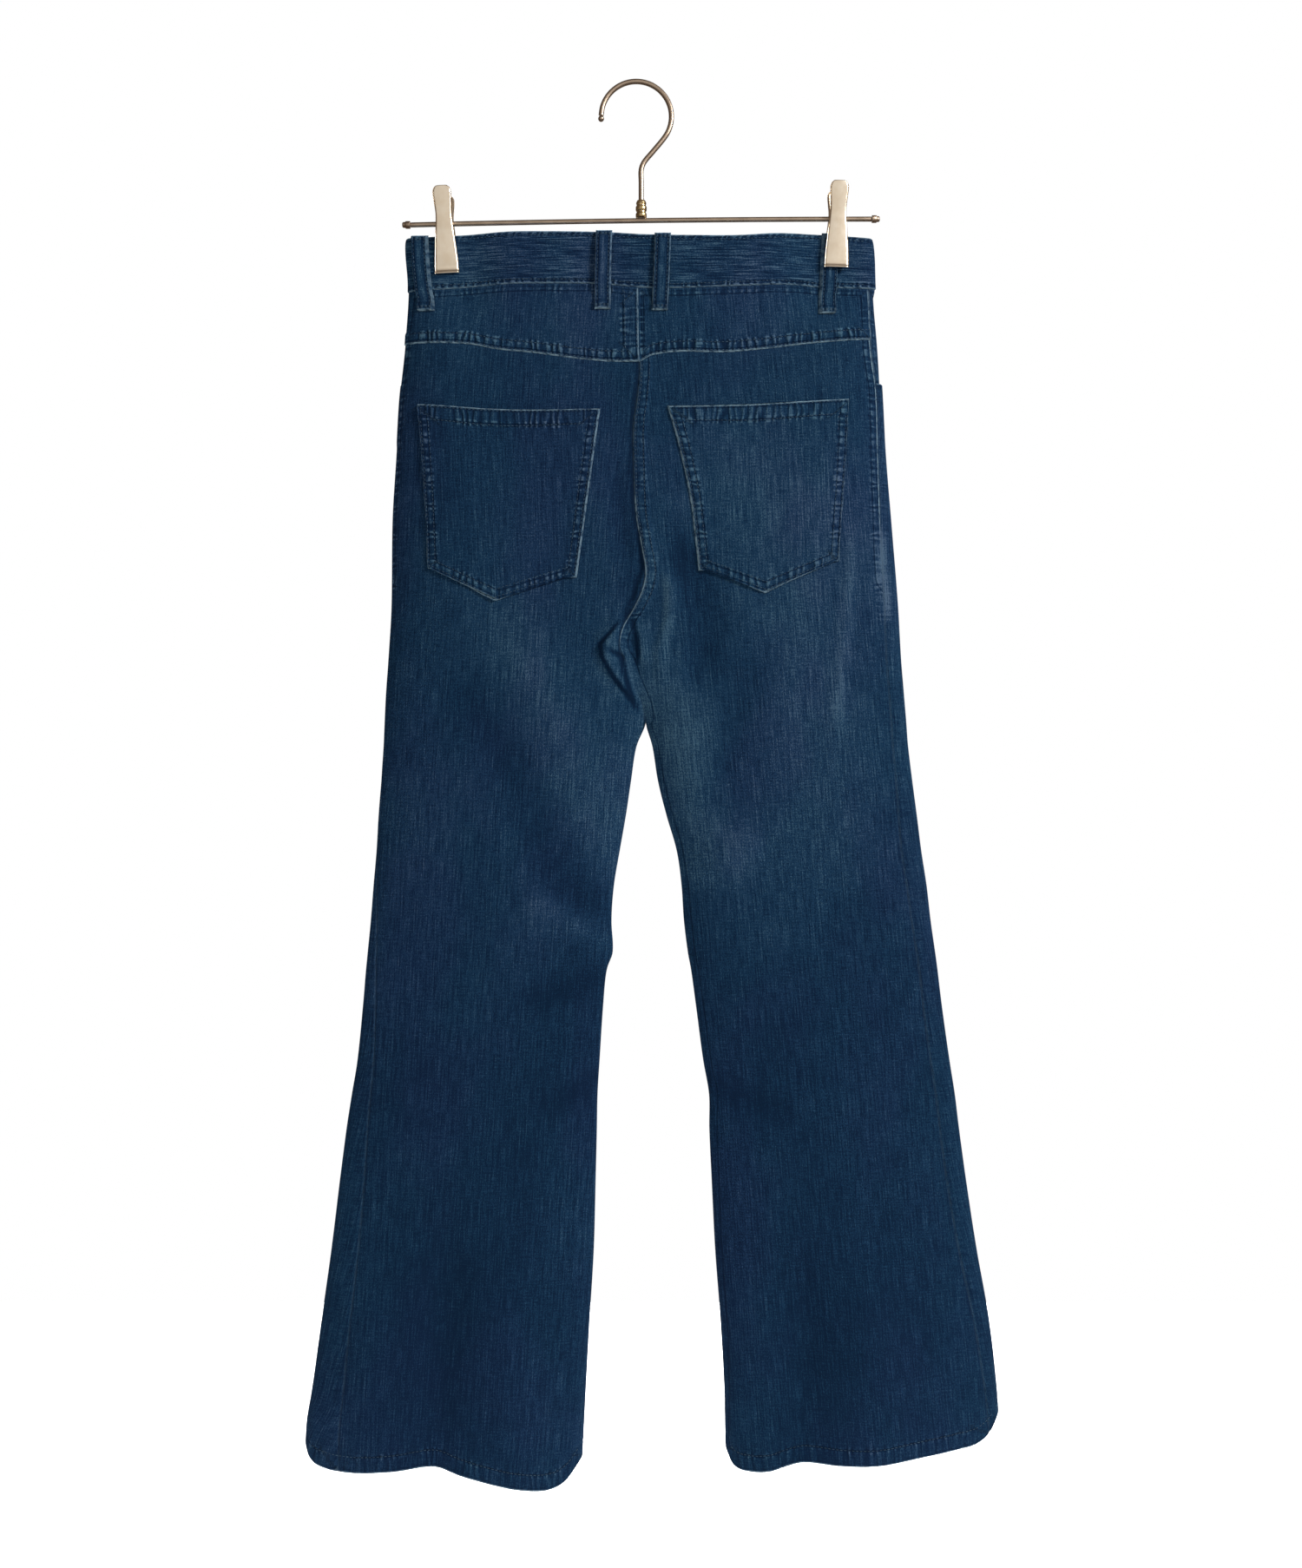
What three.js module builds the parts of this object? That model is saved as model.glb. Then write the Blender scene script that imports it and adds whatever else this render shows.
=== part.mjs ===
// Flared five-pocket jeans hanging flat from a metal two-clip hanger.
// Millimetres, +Z up. The origin is the inner crown of the hook, where a rail carries the hanger.
// The back of the jeans faces -Y and the wearer's left is -X.
import * as THREE from 'three';

// Driving dimensions
const SEAM_GAP = 0.3;
const LAYER_GAP = 0.9;
const LOOP_GAP = 0.7;
const CLOTH = 1.4;
const HEM_CLOTH = 2.4;
const HEM_HEIGHT = 13;
const BAND_PROUD = 0.8;
const BAND_INSIDE = 1.6;
const LOOP_WIDTH = 13;
const LOOP_THICKNESS = 1.8;
const POCKET_THICKNESS = 1.3;
const CROTCH_Z = -515;
const CROTCH_X = 7.7;
const CROTCH_RISE = 95;
const FRONT_DROP = 16;
const CENTRE_FRONT_TOP_X = 2;
const CLIP_GRIP_DEPTH = 2;
const CLIP_GRIP_HALF_WIDTH = 12;
const CLIP_GRIP_FADE = 46;
const CLIP_GRIP_FOOT_Z = -204;
const CLIP_GRIP_RISE = 54;
const POCKET_MOUTH_X = 96;
const POCKET_MOUTH_SIDE_Z = -243;
const FACING_OVERLAP = 14;
const FLY_BOTTOM_Z = -312;
const FLY_HALF_WIDTH = 20;
const ZIP_BOTTOM_Z = -300;
const ZIP_HALF_WIDTH = 13;
const BAND_LAP = 24;
const HALF_WAIST = 187;
const MOUTH_SCOOP = 2.4;

// How far up or down a piece its uneven edge is let in.
const HEM_REACH = 120;
const YOKE_SEAM_REACH = 110;
const MOUTH_REACH = 250;
const YOKE_REACH = 56;
const FACING_REACH = 96;

// Hanger sizes
const BAR_RADIUS = 2;
const BAR_CENTRE = { x: 4, z: -110.1 };
const BAR_TILT = 0.0127;
const BAR_BOW = 0.0000325;
const BAR_LEFT_X = -182;
const BAR_RIGHT_X = 189.7;
const BAR_CAP_LENGTH = 6.4;
const BAR_CAP_RADIUS = 3;
const WIRE_RADIUS = 2.1;
const HOOK_RADIUS = 28.35;
const HOOK_FOOT_ANGLE = -39.5;
const HOOK_TIP_ANGLE = 178;
const STEM_TOP_Z = -68;
const FERRULE_RADIUS = 4.45;
const FERRULE_TOP_Z = -93.9;
const CLIP_PLATE = 1.2;
const CLIP_TOP_Z = 27;
const CLIP_BOTTOM_Z = -41;
const PIVOT_OFFSET = 6.4;

function table(columns, rows) {
  const named = {};
  columns.forEach((name, index) => {
    named[name] = rows.map((row) => row[index]);
  });
  return named;
}

// Outer folds and inseams of the flattened garment at heights below the hook's crown.
const OUTLINE = table(['at', 'leftOuter', 'leftInner', 'rightInner', 'rightOuter'], [
  [-118, -182.0, CROTCH_X, CROTCH_X, 187.0],
  [-130, -185.6, CROTCH_X, CROTCH_X, 190.6],
  [-165, -183.6, CROTCH_X, CROTCH_X, 192.4],
  [-212, -186.2, CROTCH_X, CROTCH_X, 196.4],
  [-255, -190.6, CROTCH_X, CROTCH_X, 198.8],
  [-300, -193.0, CROTCH_X, CROTCH_X, 201.0],
  [-352, -196.0, CROTCH_X, CROTCH_X, 205.1],
  [-422, -196.9, CROTCH_X, CROTCH_X, 210.7],
  [-464, -199.5, CROTCH_X, CROTCH_X, 213.2],
  [-492, -201.6, CROTCH_X, CROTCH_X, 215.6],
  [-515, -202.8, CROTCH_X, CROTCH_X, 217.6],
  [-534, -203.7, 0.2, 13.0, 219.1],
  [-562, -205.8, -4.2, 17.5, 222.6],
  [-590, -207.9, -8.4, 24.5, 226.4],
  [-618, -209.6, -13.3, 32.6, 230.0],
  [-646, -212.1, -18.0, 36.5, 234.4],
  [-674, -214.4, -20.0, 38.4, 237.7],
  [-700, -217.0, -19.0, 41.6, 241.5],
  [-714, -218.4, -23.8, 44.2, 243.4],
  [-744, -221.0, -26.8, 48.3, 247.1],
  [-787, -225.4, -29.6, 54.0, 253.2],
  [-815, -230.0, -31.3, 58.8, 257.6],
  [-842, -234.2, -31.8, 59.0, 260.9],
  [-884, -239.6, -32.8, 60.9, 266.6],
  [-940, -246.4, -34.3, 63.7, 275.1],
  [-996, -254.1, -37.6, 67.9, 284.9],
  [-1052, -261.8, -40.6, 71.0, 291.2],
  [-1080, -266.2, -42.0, 71.5, 292.6],
  [-1130, -268.0, -44.5, 73.5, 293.0],
]);

// Centre back seam, with the swing that the crotch fold gives it.
const CENTRE_BACK = table(['at', 'x'], [
  [-118, 1.5], [-165, 1.6], [-215, 2.2], [-233, 2.8], [-256, 0.9], [-280, -2.2], [-313, -1.9],
  [-350, -0.2], [-376, 4.3], [-396, 7.4], [-410, 5.0], [-425, -1.9], [-436, -8.6], [-447, -12.4],
  [-457, -12.6], [-466, -8.2], [-479, -4.2], [-490, 0.2], [-500, 4.6], [CROTCH_Z, CROTCH_X],
]);

// Half-depth of the hanging garment, the sway of its middle plane, and how far the side
// folds' rounding reaches, as a share of each half's width.
const BODY = table(['at', 'halfDepth', 'sway', 'rounding'], [
  [-118, 8.0, 0.0, 0.18],
  [-165, 9.0, 0.0, 0.18],
  [-230, 13.0, -1.0, 0.24],
  [-300, 17.0, -2.4, 0.32],
  [-400, 20.0, -3.2, 0.42],
  [-500, 20.0, -1.6, 0.5],
  [-600, 17.5, 0.6, 0.5],
  [-700, 15.0, 2.4, 0.5],
  [-800, 14.5, 3.4, 0.5],
  [-900, 16.5, 3.2, 0.5],
  [-1000, 19.5, 2.0, 0.5],
  [-1130, 23.5, 0.4, 0.5],
]);

// How far each side seam lies in from the outer fold, on the back face.
const SIDE_SEAM = table(['at', 'left', 'right'], [
  [-118, 0.0, 5.4], [-172, 0.0, 6.0], [-214, 0.0, 8.6], [-250, 0.0, 6.0], [-298, 0.0, 7.2],
  [-400, 0.0, 12.0], [-552, 0.0, 14.0], [-618, 1.4, 17.4], [-703, 7.8, 16.0], [-787, 14.0, 16.2],
  [-895, 21.4, 16.6], [-1006, 25.4, 13.2], [-1095, 29.6, 9.0], [-1130, 31.0, 8.0],
]);

const BAND_TOP = table(['at', 'z'], [
  [-190, -125.0], [-162, -123.7], [-112, -121.6], [-58, -121.4], [-20, -122.3],
  [5, -123.7], [47, -124.4], [82, -124.4], [122, -122.3], [151, -122.3], [192, -124.8],
]);

const BAND_BOTTOM = table(['at', 'z'], [
  [-190, -169.0], [-144, -166.0], [-107, -164.0], [-33, -164.0], [2, -167.0],
  [29, -167.4], [90, -165.3], [129, -164.0], [146, -165.3], [196, -166.2],
]);

const YOKE_SEAM = {
  left: table(['at', 'z'], [
    [-190, -211.4], [-135, -213.2], [-110, -217.6], [-84, -220.2], [-44, -225.4],
    [-22, -227.4], [3, -227.6], [10, -227.6],
  ]),
  right: table(['at', 'z'], [
    [-4, -227.6], [3, -227.6], [8, -224.8], [14, -222.0], [35, -219.4], [69, -219.9],
    [97, -217.8], [141, -212.7], [198, -207.6],
  ]),
};

const HEM = {
  left: table(['at', 'z'], [
    [-268, -1092.0], [-263, -1105.0], [-250, -1110.8], [-229, -1112.2], [-194, -1110.1], [-160, -1106.9],
    [-139, -1112.9], [-111, -1120.5], [-90, -1125.4], [-70, -1127.3], [-56, -1121.9], [-43, -1106.0],
  ]),
  right: table(['at', 'z'], [
    [72, -1100.0], [78, -1111.0], [92, -1113.6], [106, -1112.2], [120, -1107.4], [134, -1104.4], [162, -1105.3],
    [189, -1104.6], [224, -1099.7], [258, -1094.2], [274, -1091.0], [286, -1082.0], [293, -1070.0],
  ]),
};

// The largest folds: a soft ridge, or a trough where height is negative, along a line on one
// face (-1 back, 1 front), from the first to the second end.
const FOLDS = [
  { face: -1, from: [-6, -436], to: [-26, -456], width: 9, height: 3.4 },
  { face: -1, from: [-26, -456], to: [-6, -492], width: 9, height: 3.4 },
  { face: -1, from: [-10, -430], to: [4, -500], width: 6, height: -3.0 },
  { face: -1, from: [10, -470], to: [74, -640], width: 22, height: 2.6 },
  { face: -1, from: [-12, -520], to: [-90, -650], width: 24, height: 2.2 },
  { face: -1, from: [-18, -690], to: [-88, -660], width: 13, height: 2.8 },
  { face: -1, from: [-22, -716], to: [-96, -742], width: 12, height: -2.6 },
  { face: -1, from: [-28, -806], to: [-80, -824], width: 12, height: -2.0 },
  { face: -1, from: [34, -634], to: [96, -612], width: 13, height: 2.4 },
  { face: -1, from: [56, -806], to: [124, -832], width: 13, height: -2.6 },
  { face: -1, from: [-152, -930], to: [-162, -1120], width: 19, height: -5.0 },
  { face: -1, from: [-104, -960], to: [-98, -1130], width: 24, height: 4.0 },
  { face: -1, from: [-214, -960], to: [-222, -1120], width: 22, height: 3.0 },
  { face: -1, from: [128, -940], to: [134, -1115], width: 20, height: -5.0 },
  { face: -1, from: [182, -960], to: [196, -1115], width: 26, height: 3.4 },
  { face: 1, from: [-2, -520], to: [-92, -600], width: 20, height: 2.6 },
  { face: 1, from: [14, -520], to: [104, -606], width: 20, height: 2.6 },
  { face: 1, from: [0, -440], to: [-110, -410], width: 16, height: -2.2 },
  { face: 1, from: [14, -440], to: [128, -412], width: 16, height: -2.2 },
  { face: 1, from: [-30, -706], to: [-120, -728], width: 14, height: 2.6 },
  { face: 1, from: [46, -716], to: [140, -742], width: 14, height: 2.6 },
  { face: 1, from: [-122, -900], to: [-128, -1125], width: 24, height: 4.6 },
  { face: 1, from: [-196, -940], to: [-206, -1120], width: 22, height: -4.0 },
  { face: 1, from: [158, -920], to: [166, -1115], width: 26, height: 4.6 },
  { face: 1, from: [236, -960], to: [244, -1110], width: 20, height: -3.6 },
];

const CLIPS = {
  left: { x: -154.2, lean: 3.1, frontGrip: 3.2, backGrip: 3.2 },
  right: { x: 162.0, lean: 1.9, frontGrip: 5.9, backGrip: 3.2 },
};

const BACK_POCKETS = {
  left: {
    top: table(['at', 'z'], [[-173.5, -261.0], [-106, -266.3], [-28.1, -265.8]]),
    foot: table(['at', 'z'], [[-164.6, -393.3], [-108, -419.5], [-46.7, -400.9]]),
    outer: table(['at', 'x'], [[-261, -173.5], [-295, -170.6], [-342, -167.0], [-395, -164.6], [-420, -164.0]]),
    inner: table(['at', 'x'], [[-260, -27.6], [-330, -37.2], [-401, -46.7], [-420, -49.0]]),
  },
  right: {
    top: table(['at', 'z'], [[24.7, -263.7], [98, -262.0], [168.4, -257.5]]),
    foot: table(['at', 'z'], [[49.5, -395.0], [100.1, -413.3], [160.1, -387.8]]),
    outer: table(['at', 'x'], [[-257, 168.4], [-320, 165.0], [-388, 160.1], [-415, 158.4]]),
    inner: table(['at', 'x'], [
      [-262, 24.4], [-292, 33.0], [-335, 42.4], [-371, 47.0], [-395, 49.5], [-415, 50.6],
    ]),
  },
};

const BELT_LOOPS = [
  { name: 'belt_loop_back_left', face: -1, topX: -172.4, footX: -167.2, footZ: -185.0, bulge: 0.9 },
  { name: 'belt_loop_centre_left', face: -1, topX: -25.4, footX: -26.8, footZ: -184.6, bulge: 1.5 },
  { name: 'belt_loop_centre_right', face: -1, topX: 21.2, footX: 18.8, footZ: -185.6, bulge: 1.5 },
  { name: 'belt_loop_back_right', face: -1, topX: 154.6, footX: 151.8, footZ: -187.8, bulge: 0 },
  { name: 'belt_loop_front_left', face: 1, topX: -84.0, footX: -85.0, footZ: -198.0, bulge: 1.5 },
  { name: 'belt_loop_front_right', face: 1, topX: 90.0, footX: 91.0, footZ: -198.0, bulge: 1.5 },
];

const SIDES = {
  left: { name: 'left', sign: -1, outer: 'leftOuter', inner: 'leftInner' },
  right: { name: 'right', sign: 1, outer: 'rightOuter', inner: 'rightInner' },
};

const PANEL_LEVELS = [
  -1112, -1099, -1075, -1035, -985, -930, -875, -842, -815, -780, -744, -714, -695, -668, -640,
  -605, -570, -540, CROTCH_Z, -500, -485, -470, -457, -445, -430, -410, -385, -350,
  -310, -265, -220,
];
const FRONT_LEVELS = [...PANEL_LEVELS, -200, -182];
const YOKE_LEVELS = [-222, -202, -184, -166];
const BAND_LEVELS = [-166, -150, -136, -123];
const FACING_LEVELS = [-262, -236, -212, -190, -166];

const DENIM = new THREE.Color(0.022, 0.042, 0.083);
const DENIM_INSIDE = new THREE.Color(0.16, 0.21, 0.28);

// Interpolation and shape helpers

function clamp(value, low, high) {
  return Math.min(Math.max(value, low), high);
}

function mix(a, b, share) {
  return a + (b - a) * share;
}

function smooth(value) {
  const s = clamp(value, 0, 1);
  return s * s * (3 - 2 * s);
}

// Smooth curve through a table's rows; `at` may rise or fall.
function along(rows, column, at) {
  const keys = rows.at;
  const values = rows[column];
  const last = keys.length - 1;
  const rising = keys[last] > keys[0] ? 1 : -1;
  if ((at - keys[0]) * rising <= 0) return values[0];
  if ((at - keys[last]) * rising >= 0) return values[last];
  let i = 0;
  while ((at - keys[i + 1]) * rising > 0) i += 1;
  const slope = (j) => {
    const a = Math.max(j - 1, 0);
    const b = Math.min(j + 1, last);
    return (values[b] - values[a]) / (keys[b] - keys[a]);
  };
  const span = keys[i + 1] - keys[i];
  const s = (at - keys[i]) / span;
  const s2 = s * s;
  const s3 = s2 * s;
  return values[i] * (2 * s3 - 3 * s2 + 1) + values[i + 1] * (3 * s2 - 2 * s3)
    + span * (slope(i) * (s3 - 2 * s2 + s) + slope(i + 1) * (s3 - s2));
}

// Quarter-round rise from 0 at an edge to 1 where the rounding ends.
function roundRise(share) {
  const s = 1 - Math.min(Math.max(share, 0), 1);
  return 1 - s * s;
}

function centreFrontX(z) {
  return mix(CENTRE_FRONT_TOP_X, CROTCH_X, clamp((z + 118) / (CROTCH_Z + 118), 0, 1));
}

function centreOpenness(z) {
  return clamp((z - CROTCH_Z) / CROTCH_RISE, 0, 1);
}

function innerX(side, face, z) {
  if (z < CROTCH_Z) return along(OUTLINE, side.inner, z);
  return face < 0 ? along(CENTRE_BACK, 'x', z) : centreFrontX(z);
}

// How hard the two clips squeeze the waist together at this spot, 0 to 1.
function clipGrip(x, z) {
  const fromClip = Math.min(Math.abs(x - CLIPS.left.x - 2), Math.abs(x - CLIPS.right.x + 1));
  const across = 1 - smooth((fromClip - CLIP_GRIP_HALF_WIDTH) / CLIP_GRIP_FADE);
  return across * smooth((z - CLIP_GRIP_FOOT_Z) / CLIP_GRIP_RISE);
}

function foldHeight(face, x, z) {
  let height = 0;
  for (const fold of FOLDS) {
    if (fold.face !== face) continue;
    const dx = fold.to[0] - fold.from[0];
    const dz = fold.to[1] - fold.from[1];
    const length = Math.hypot(dx, dz);
    const run = ((x - fold.from[0]) * dx + (z - fold.from[1]) * dz) / length;
    const off = ((x - fold.from[0]) * dz - (z - fold.from[1]) * dx) / length;
    const beyond = Math.max(-run, run - length, 0);
    const taper = smooth(Math.min(run / length, 1 - run / length) * 3 + 0.45);
    height += fold.height * taper * Math.exp(-((off * off + beyond * beyond) / (fold.width * fold.width)));
  }
  return height;
}

// A point of the garment. t runs from -1 at the centre back or inseam, through 0 on the
// outer fold, to 1 at the centre front or inseam. inset is the depth below the face.
function garmentPoint(side, t, z, inset, seam = SEAM_GAP / 2) {
  const face = t < 0 ? -1 : 1;
  const share = (1 + Math.cos(Math.PI * Math.abs(t))) / 2;
  const open = centreOpenness(z);
  const nearX = innerX(side, face, z) + side.sign * (seam + inset * (1 - open));
  const farX = along(OUTLINE, side.outer, z) - side.sign * inset;
  const x = mix(nearX, farX, share);
  const rounding = along(BODY, 'rounding', z);
  const rise = Math.sqrt(roundRise((1 - share) / rounding) * (open + (1 - open) * roundRise(share / 0.5)));
  const depth = mix(along(BODY, 'halfDepth', z), CLIP_GRIP_DEPTH, clipGrip(x, z));
  const y = along(BODY, 'sway', z) + face * rise * (depth - inset + foldHeight(face, x, z));
  return new THREE.Vector3(x, y, z);
}

// The same surface, found from a place on it instead of from t.
function placedPoint(face, x, z, inset) {
  const side = x < innerX(SIDES.left, face, z) ? SIDES.left : SIDES.right;
  const near = innerX(side, face, z);
  const share = clamp((x - near) / (along(OUTLINE, side.outer, z) - near), 0, 1);
  return garmentPoint(side, face * Math.acos(2 * share - 1) / Math.PI, z, inset, 0);
}

function sideSeamT(side, z) {
  const near = innerX(side, -1, z);
  const width = Math.abs(along(OUTLINE, side.outer, z) - near);
  const share = 1 - along(SIDE_SEAM, side.name, z) / width;
  return -Math.acos(clamp(2 * share - 1, -1, 1)) / Math.PI;
}

// The step in t that leaves half a seam gap at t.
function halfGap(side, t, z) {
  const step = 0.002;
  const a = garmentPoint(side, Math.max(t - step, -1), z, 0);
  const b = garmentPoint(side, Math.min(t + step, 1), z, 0);
  return (SEAM_GAP / 2) * (Math.min(t + step, 1) - Math.max(t - step, -1)) / a.distanceTo(b);
}

function inseamT(side, face, z) {
  return z < CROTCH_Z ? face * (1 - halfGap(side, face, z)) : face;
}

// Closed solids

// Joins two grids of points, an outer and an inner skin, into one closed wall.
function closedWall(outer, inner) {
  const rows = outer.length;
  const columns = outer[0].length;
  const points = [...outer.flat(), ...inner.flat()];
  const index = (skin, row, column) => skin * rows * columns + row * columns + column;
  const faces = [];
  const quad = (a, b, c, d) => faces.push([a, b, c], [a, c, d]);
  for (let r = 0; r + 1 < rows; r += 1) {
    for (let c = 0; c + 1 < columns; c += 1) {
      quad(index(0, r, c), index(0, r, c + 1), index(0, r + 1, c + 1), index(0, r + 1, c));
      quad(index(1, r, c), index(1, r + 1, c), index(1, r + 1, c + 1), index(1, r, c + 1));
    }
    quad(index(0, r, 0), index(0, r + 1, 0), index(1, r + 1, 0), index(1, r, 0));
    const end = columns - 1;
    quad(index(0, r + 1, end), index(0, r, end), index(1, r, end), index(1, r + 1, end));
  }
  for (let c = 0; c + 1 < columns; c += 1) {
    quad(index(0, 0, c + 1), index(0, 0, c), index(1, 0, c), index(1, 0, c + 1));
    quad(index(0, rows - 1, c), index(0, rows - 1, c + 1), index(1, rows - 1, c + 1), index(1, rows - 1, c));
  }
  let volume = 0;
  for (const [a, b, c] of faces) volume += points[a].dot(points[b].clone().cross(points[c]));
  if (volume < 0) faces.forEach((f) => f.reverse());
  const geometry = new THREE.BufferGeometry().setFromPoints(points);
  geometry.setIndex(faces.flat());
  geometry.computeVertexNormals();
  return geometry;
}

function grid(rowCount, columnCount, pointAt) {
  return Array.from({ length: rowCount }, (_, r) => (
    Array.from({ length: columnCount }, (__, c) => pointAt(r, c))
  ));
}

// A sewn piece between two seams that run down the garment and two that run across it.
function garmentPiece(piece) {
  const { side, levels, columns, from, to, bottom, top, bottomReach, topReach, outside, inside } = piece;
  const low = levels[0];
  const high = levels[levels.length - 1];
  const skin = (inset) => grid(levels.length, columns + 1, (r, c) => {
    const level = levels[r];
    const share = c / columns;
    const middleT = mix(from(level), to(level), share);
    const place = garmentPoint(side, middleT, level, 0);
    const face = middleT < 0 ? -1 : 1;
    const z = level
      + (bottom(place.x, face) - low) * Math.max(0, 1 - (level - low) / bottomReach)
      + (top(place.x, face) - high) * Math.max(0, 1 - (high - level) / topReach);
    return garmentPoint(side, mix(from(z), to(z), share), z, inset(level));
  });
  return closedWall(skin(outside), skin(inside));
}

// The turned-up hem doubles the cloth.
function panelInside(level) {
  return level <= PANEL_LEVELS[0] + HEM_HEIGHT ? HEM_CLOTH : CLOTH;
}

function bandBottomZ(x, face) {
  return along(BAND_BOTTOM, 'z', x) - (face > 0 ? frontDrop(x) : 0);
}

function bandTopZ(x, face) {
  return along(BAND_TOP, 'z', x) - (face > 0 ? frontDrop(x) : 0);
}

// The front of the waist dips below the back.
function frontDrop(x) {
  const share = clamp(Math.abs(x - CENTRE_FRONT_TOP_X) / HALF_WAIST, 0, 1);
  return FRONT_DROP * Math.cos(share * Math.PI / 2) ** 2;
}

// The scooped front pocket mouth: from the waistband out and down to the side seam.
function pocketMouthZ(x, face) {
  const bandZ = bandBottomZ(x, face);
  if (face < 0) return POCKET_MOUTH_SIDE_Z;
  const fromMouth = Math.abs(x - CENTRE_FRONT_TOP_X) - POCKET_MOUTH_X;
  const share = clamp(fromMouth / (HALF_WAIST - POCKET_MOUTH_X), 0, 1);
  return mix(bandZ, POCKET_MOUTH_SIDE_Z, 1 - (1 - share) ** MOUTH_SCOOP);
}

function backPanel(side) {
  return garmentPiece({
    side,
    levels: PANEL_LEVELS,
    columns: 12,
    from: (z) => inseamT(side, -1, z),
    to: (z) => sideSeamT(side, z) - halfGap(side, sideSeamT(side, z), z),
    bottom: (x) => along(HEM[side.name], 'z', x),
    top: (x) => along(YOKE_SEAM[side.name], 'z', x) - SEAM_GAP / 2,
    bottomReach: HEM_REACH,
    topReach: YOKE_SEAM_REACH,
    outside: () => 0,
    inside: panelInside,
  });
}

function frontPanel(side) {
  return garmentPiece({
    side,
    levels: FRONT_LEVELS,
    columns: 14,
    from: (z) => sideSeamT(side, z) + halfGap(side, sideSeamT(side, z), z),
    to: (z) => inseamT(side, 1, z),
    bottom: (x) => along(HEM[side.name], 'z', x),
    top: (x, face) => pocketMouthZ(x, face) - SEAM_GAP / 2,
    bottomReach: HEM_REACH,
    topReach: MOUTH_REACH,
    outside: () => 0,
    inside: panelInside,
  });
}

function yoke(side) {
  return garmentPiece({
    side,
    levels: YOKE_LEVELS,
    columns: 12,
    from: () => -1,
    to: (z) => sideSeamT(side, z) - halfGap(side, sideSeamT(side, z), z),
    bottom: (x) => along(YOKE_SEAM[side.name], 'z', x) + SEAM_GAP / 2,
    top: (x) => bandBottomZ(x, -1) - SEAM_GAP / 2,
    bottomReach: YOKE_REACH,
    topReach: YOKE_REACH,
    outside: () => 0,
    inside: () => CLOTH,
  });
}

// Lies one cloth below the front panel and shows in the pocket mouth.
function pocketFacing(side) {
  const edgeX = CENTRE_FRONT_TOP_X + side.sign * (POCKET_MOUTH_X - FACING_OVERLAP);
  return garmentPiece({
    side,
    levels: FACING_LEVELS,
    columns: 10,
    from: (z) => sideSeamT(side, z) + halfGap(side, sideSeamT(side, z), z),
    to: (z) => {
      const near = innerX(side, 1, z);
      const share = (edgeX - near) / (along(OUTLINE, side.outer, z) - near);
      return Math.acos(2 * share - 1) / Math.PI;
    },
    bottom: (x, face) => Math.min(pocketMouthZ(x, face) - FACING_OVERLAP, bandBottomZ(x, face) - 20),
    top: (x, face) => bandBottomZ(x, face) - SEAM_GAP / 2,
    bottomReach: FACING_REACH,
    topReach: FACING_REACH,
    outside: () => CLOTH + LAYER_GAP,
    inside: () => CLOTH + LAYER_GAP + CLOTH,
  });
}

// One band from the centre front, round the back, to the centre front again. Its left end
// laps over its right end.
function waistband() {
  const lapOut = BAND_PROUD + BAND_INSIDE + SEAM_GAP;
  const places = [];
  for (let i = 0; i <= 2; i += 1) {
    places.push({ side: SIDES.right, x: CENTRE_FRONT_TOP_X + BAND_LAP * (1 - i / 2.6), lift: lapOut });
  }
  const steps = 24;
  for (let i = 0; i <= steps; i += 1) {
    places.push({ side: SIDES.left, t: 1 - 2 * i / steps, lift: lapOut * Math.max(0, 1 - i / 3) });
  }
  for (let i = 1; i <= steps; i += 1) places.push({ side: SIDES.right, t: -1 + 2 * i / steps, lift: 0 });
  const skin = (inset) => grid(BAND_LEVELS.length, places.length, (r, c) => {
    const { side, t, x, lift } = places[c];
    const share = r / (BAND_LEVELS.length - 1);
    const bandPoint = (z, depth) => (
      x === undefined ? garmentPoint(side, t, z, depth, 0) : placedPoint(1, x, z, depth)
    );
    const middle = bandPoint(BAND_LEVELS[r], 0);
    const face = x === undefined && t < 0 ? -1 : 1;
    const z = mix(bandBottomZ(middle.x, face) + SEAM_GAP / 2, bandTopZ(middle.x, face), share);
    return bandPoint(z, inset - lift);
  });
  return closedWall(skin(-BAND_PROUD), skin(BAND_INSIDE));
}

// Patch pocket made from the back panel's points, moved out.
function backPocket(side) {
  const pocket = BACK_POCKETS[side.name];
  const rows = 7;
  const columns = 8;
  const skin = (inset) => grid(rows + 1, columns + 1, (r, c) => {
    const across = c / columns;
    const roughX = mix(along(pocket.inner, 'x', -330), along(pocket.outer, 'x', -330), across);
    const z = mix(along(pocket.top, 'z', roughX), straight(pocket.foot, roughX), r / rows);
    const x = mix(along(pocket.inner, 'x', z), along(pocket.outer, 'x', z), across);
    return placedPoint(-1, x, z, inset);
  });
  return closedWall(skin(-SEAM_GAP - POCKET_THICKNESS), skin(-SEAM_GAP));
}

// Straight lines through a table of places, for edges that meet in corners.
function straight(rows, at) {
  const keys = rows.at;
  let i = 0;
  while (i + 2 < keys.length && at > keys[i + 1]) i += 1;
  return mix(rows.z[i], rows.z[i + 1], clamp((at - keys[i]) / (keys[i + 1] - keys[i]), 0, 1));
}

// A folded strip over the waistband, tacked at its top and just below the band.
function beltLoop(loop) {
  const rows = 9;
  const topZ = bandTopZ(loop.topX, loop.face) + 1;
  const skin = (extra) => grid(rows + 1, 3, (r, c) => {
    const down = r / rows;
    const z = mix(topZ, loop.footZ, down);
    const x = mix(loop.topX, loop.footX, down) + (c / 2 - 0.5) * LOOP_WIDTH;
    const bandZ = bandBottomZ(x, loop.face);
    const overBand = smooth((z - bandZ + 7) / 6);
    const lift = LOOP_GAP + BAND_PROUD * overBand + loop.bulge * Math.sin(Math.PI * clamp(down * 1.2, 0, 1));
    return placedPoint(loop.face, x, z, -lift - extra);
  });
  return closedWall(skin(LOOP_THICKNESS), skin(0));
}

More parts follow.
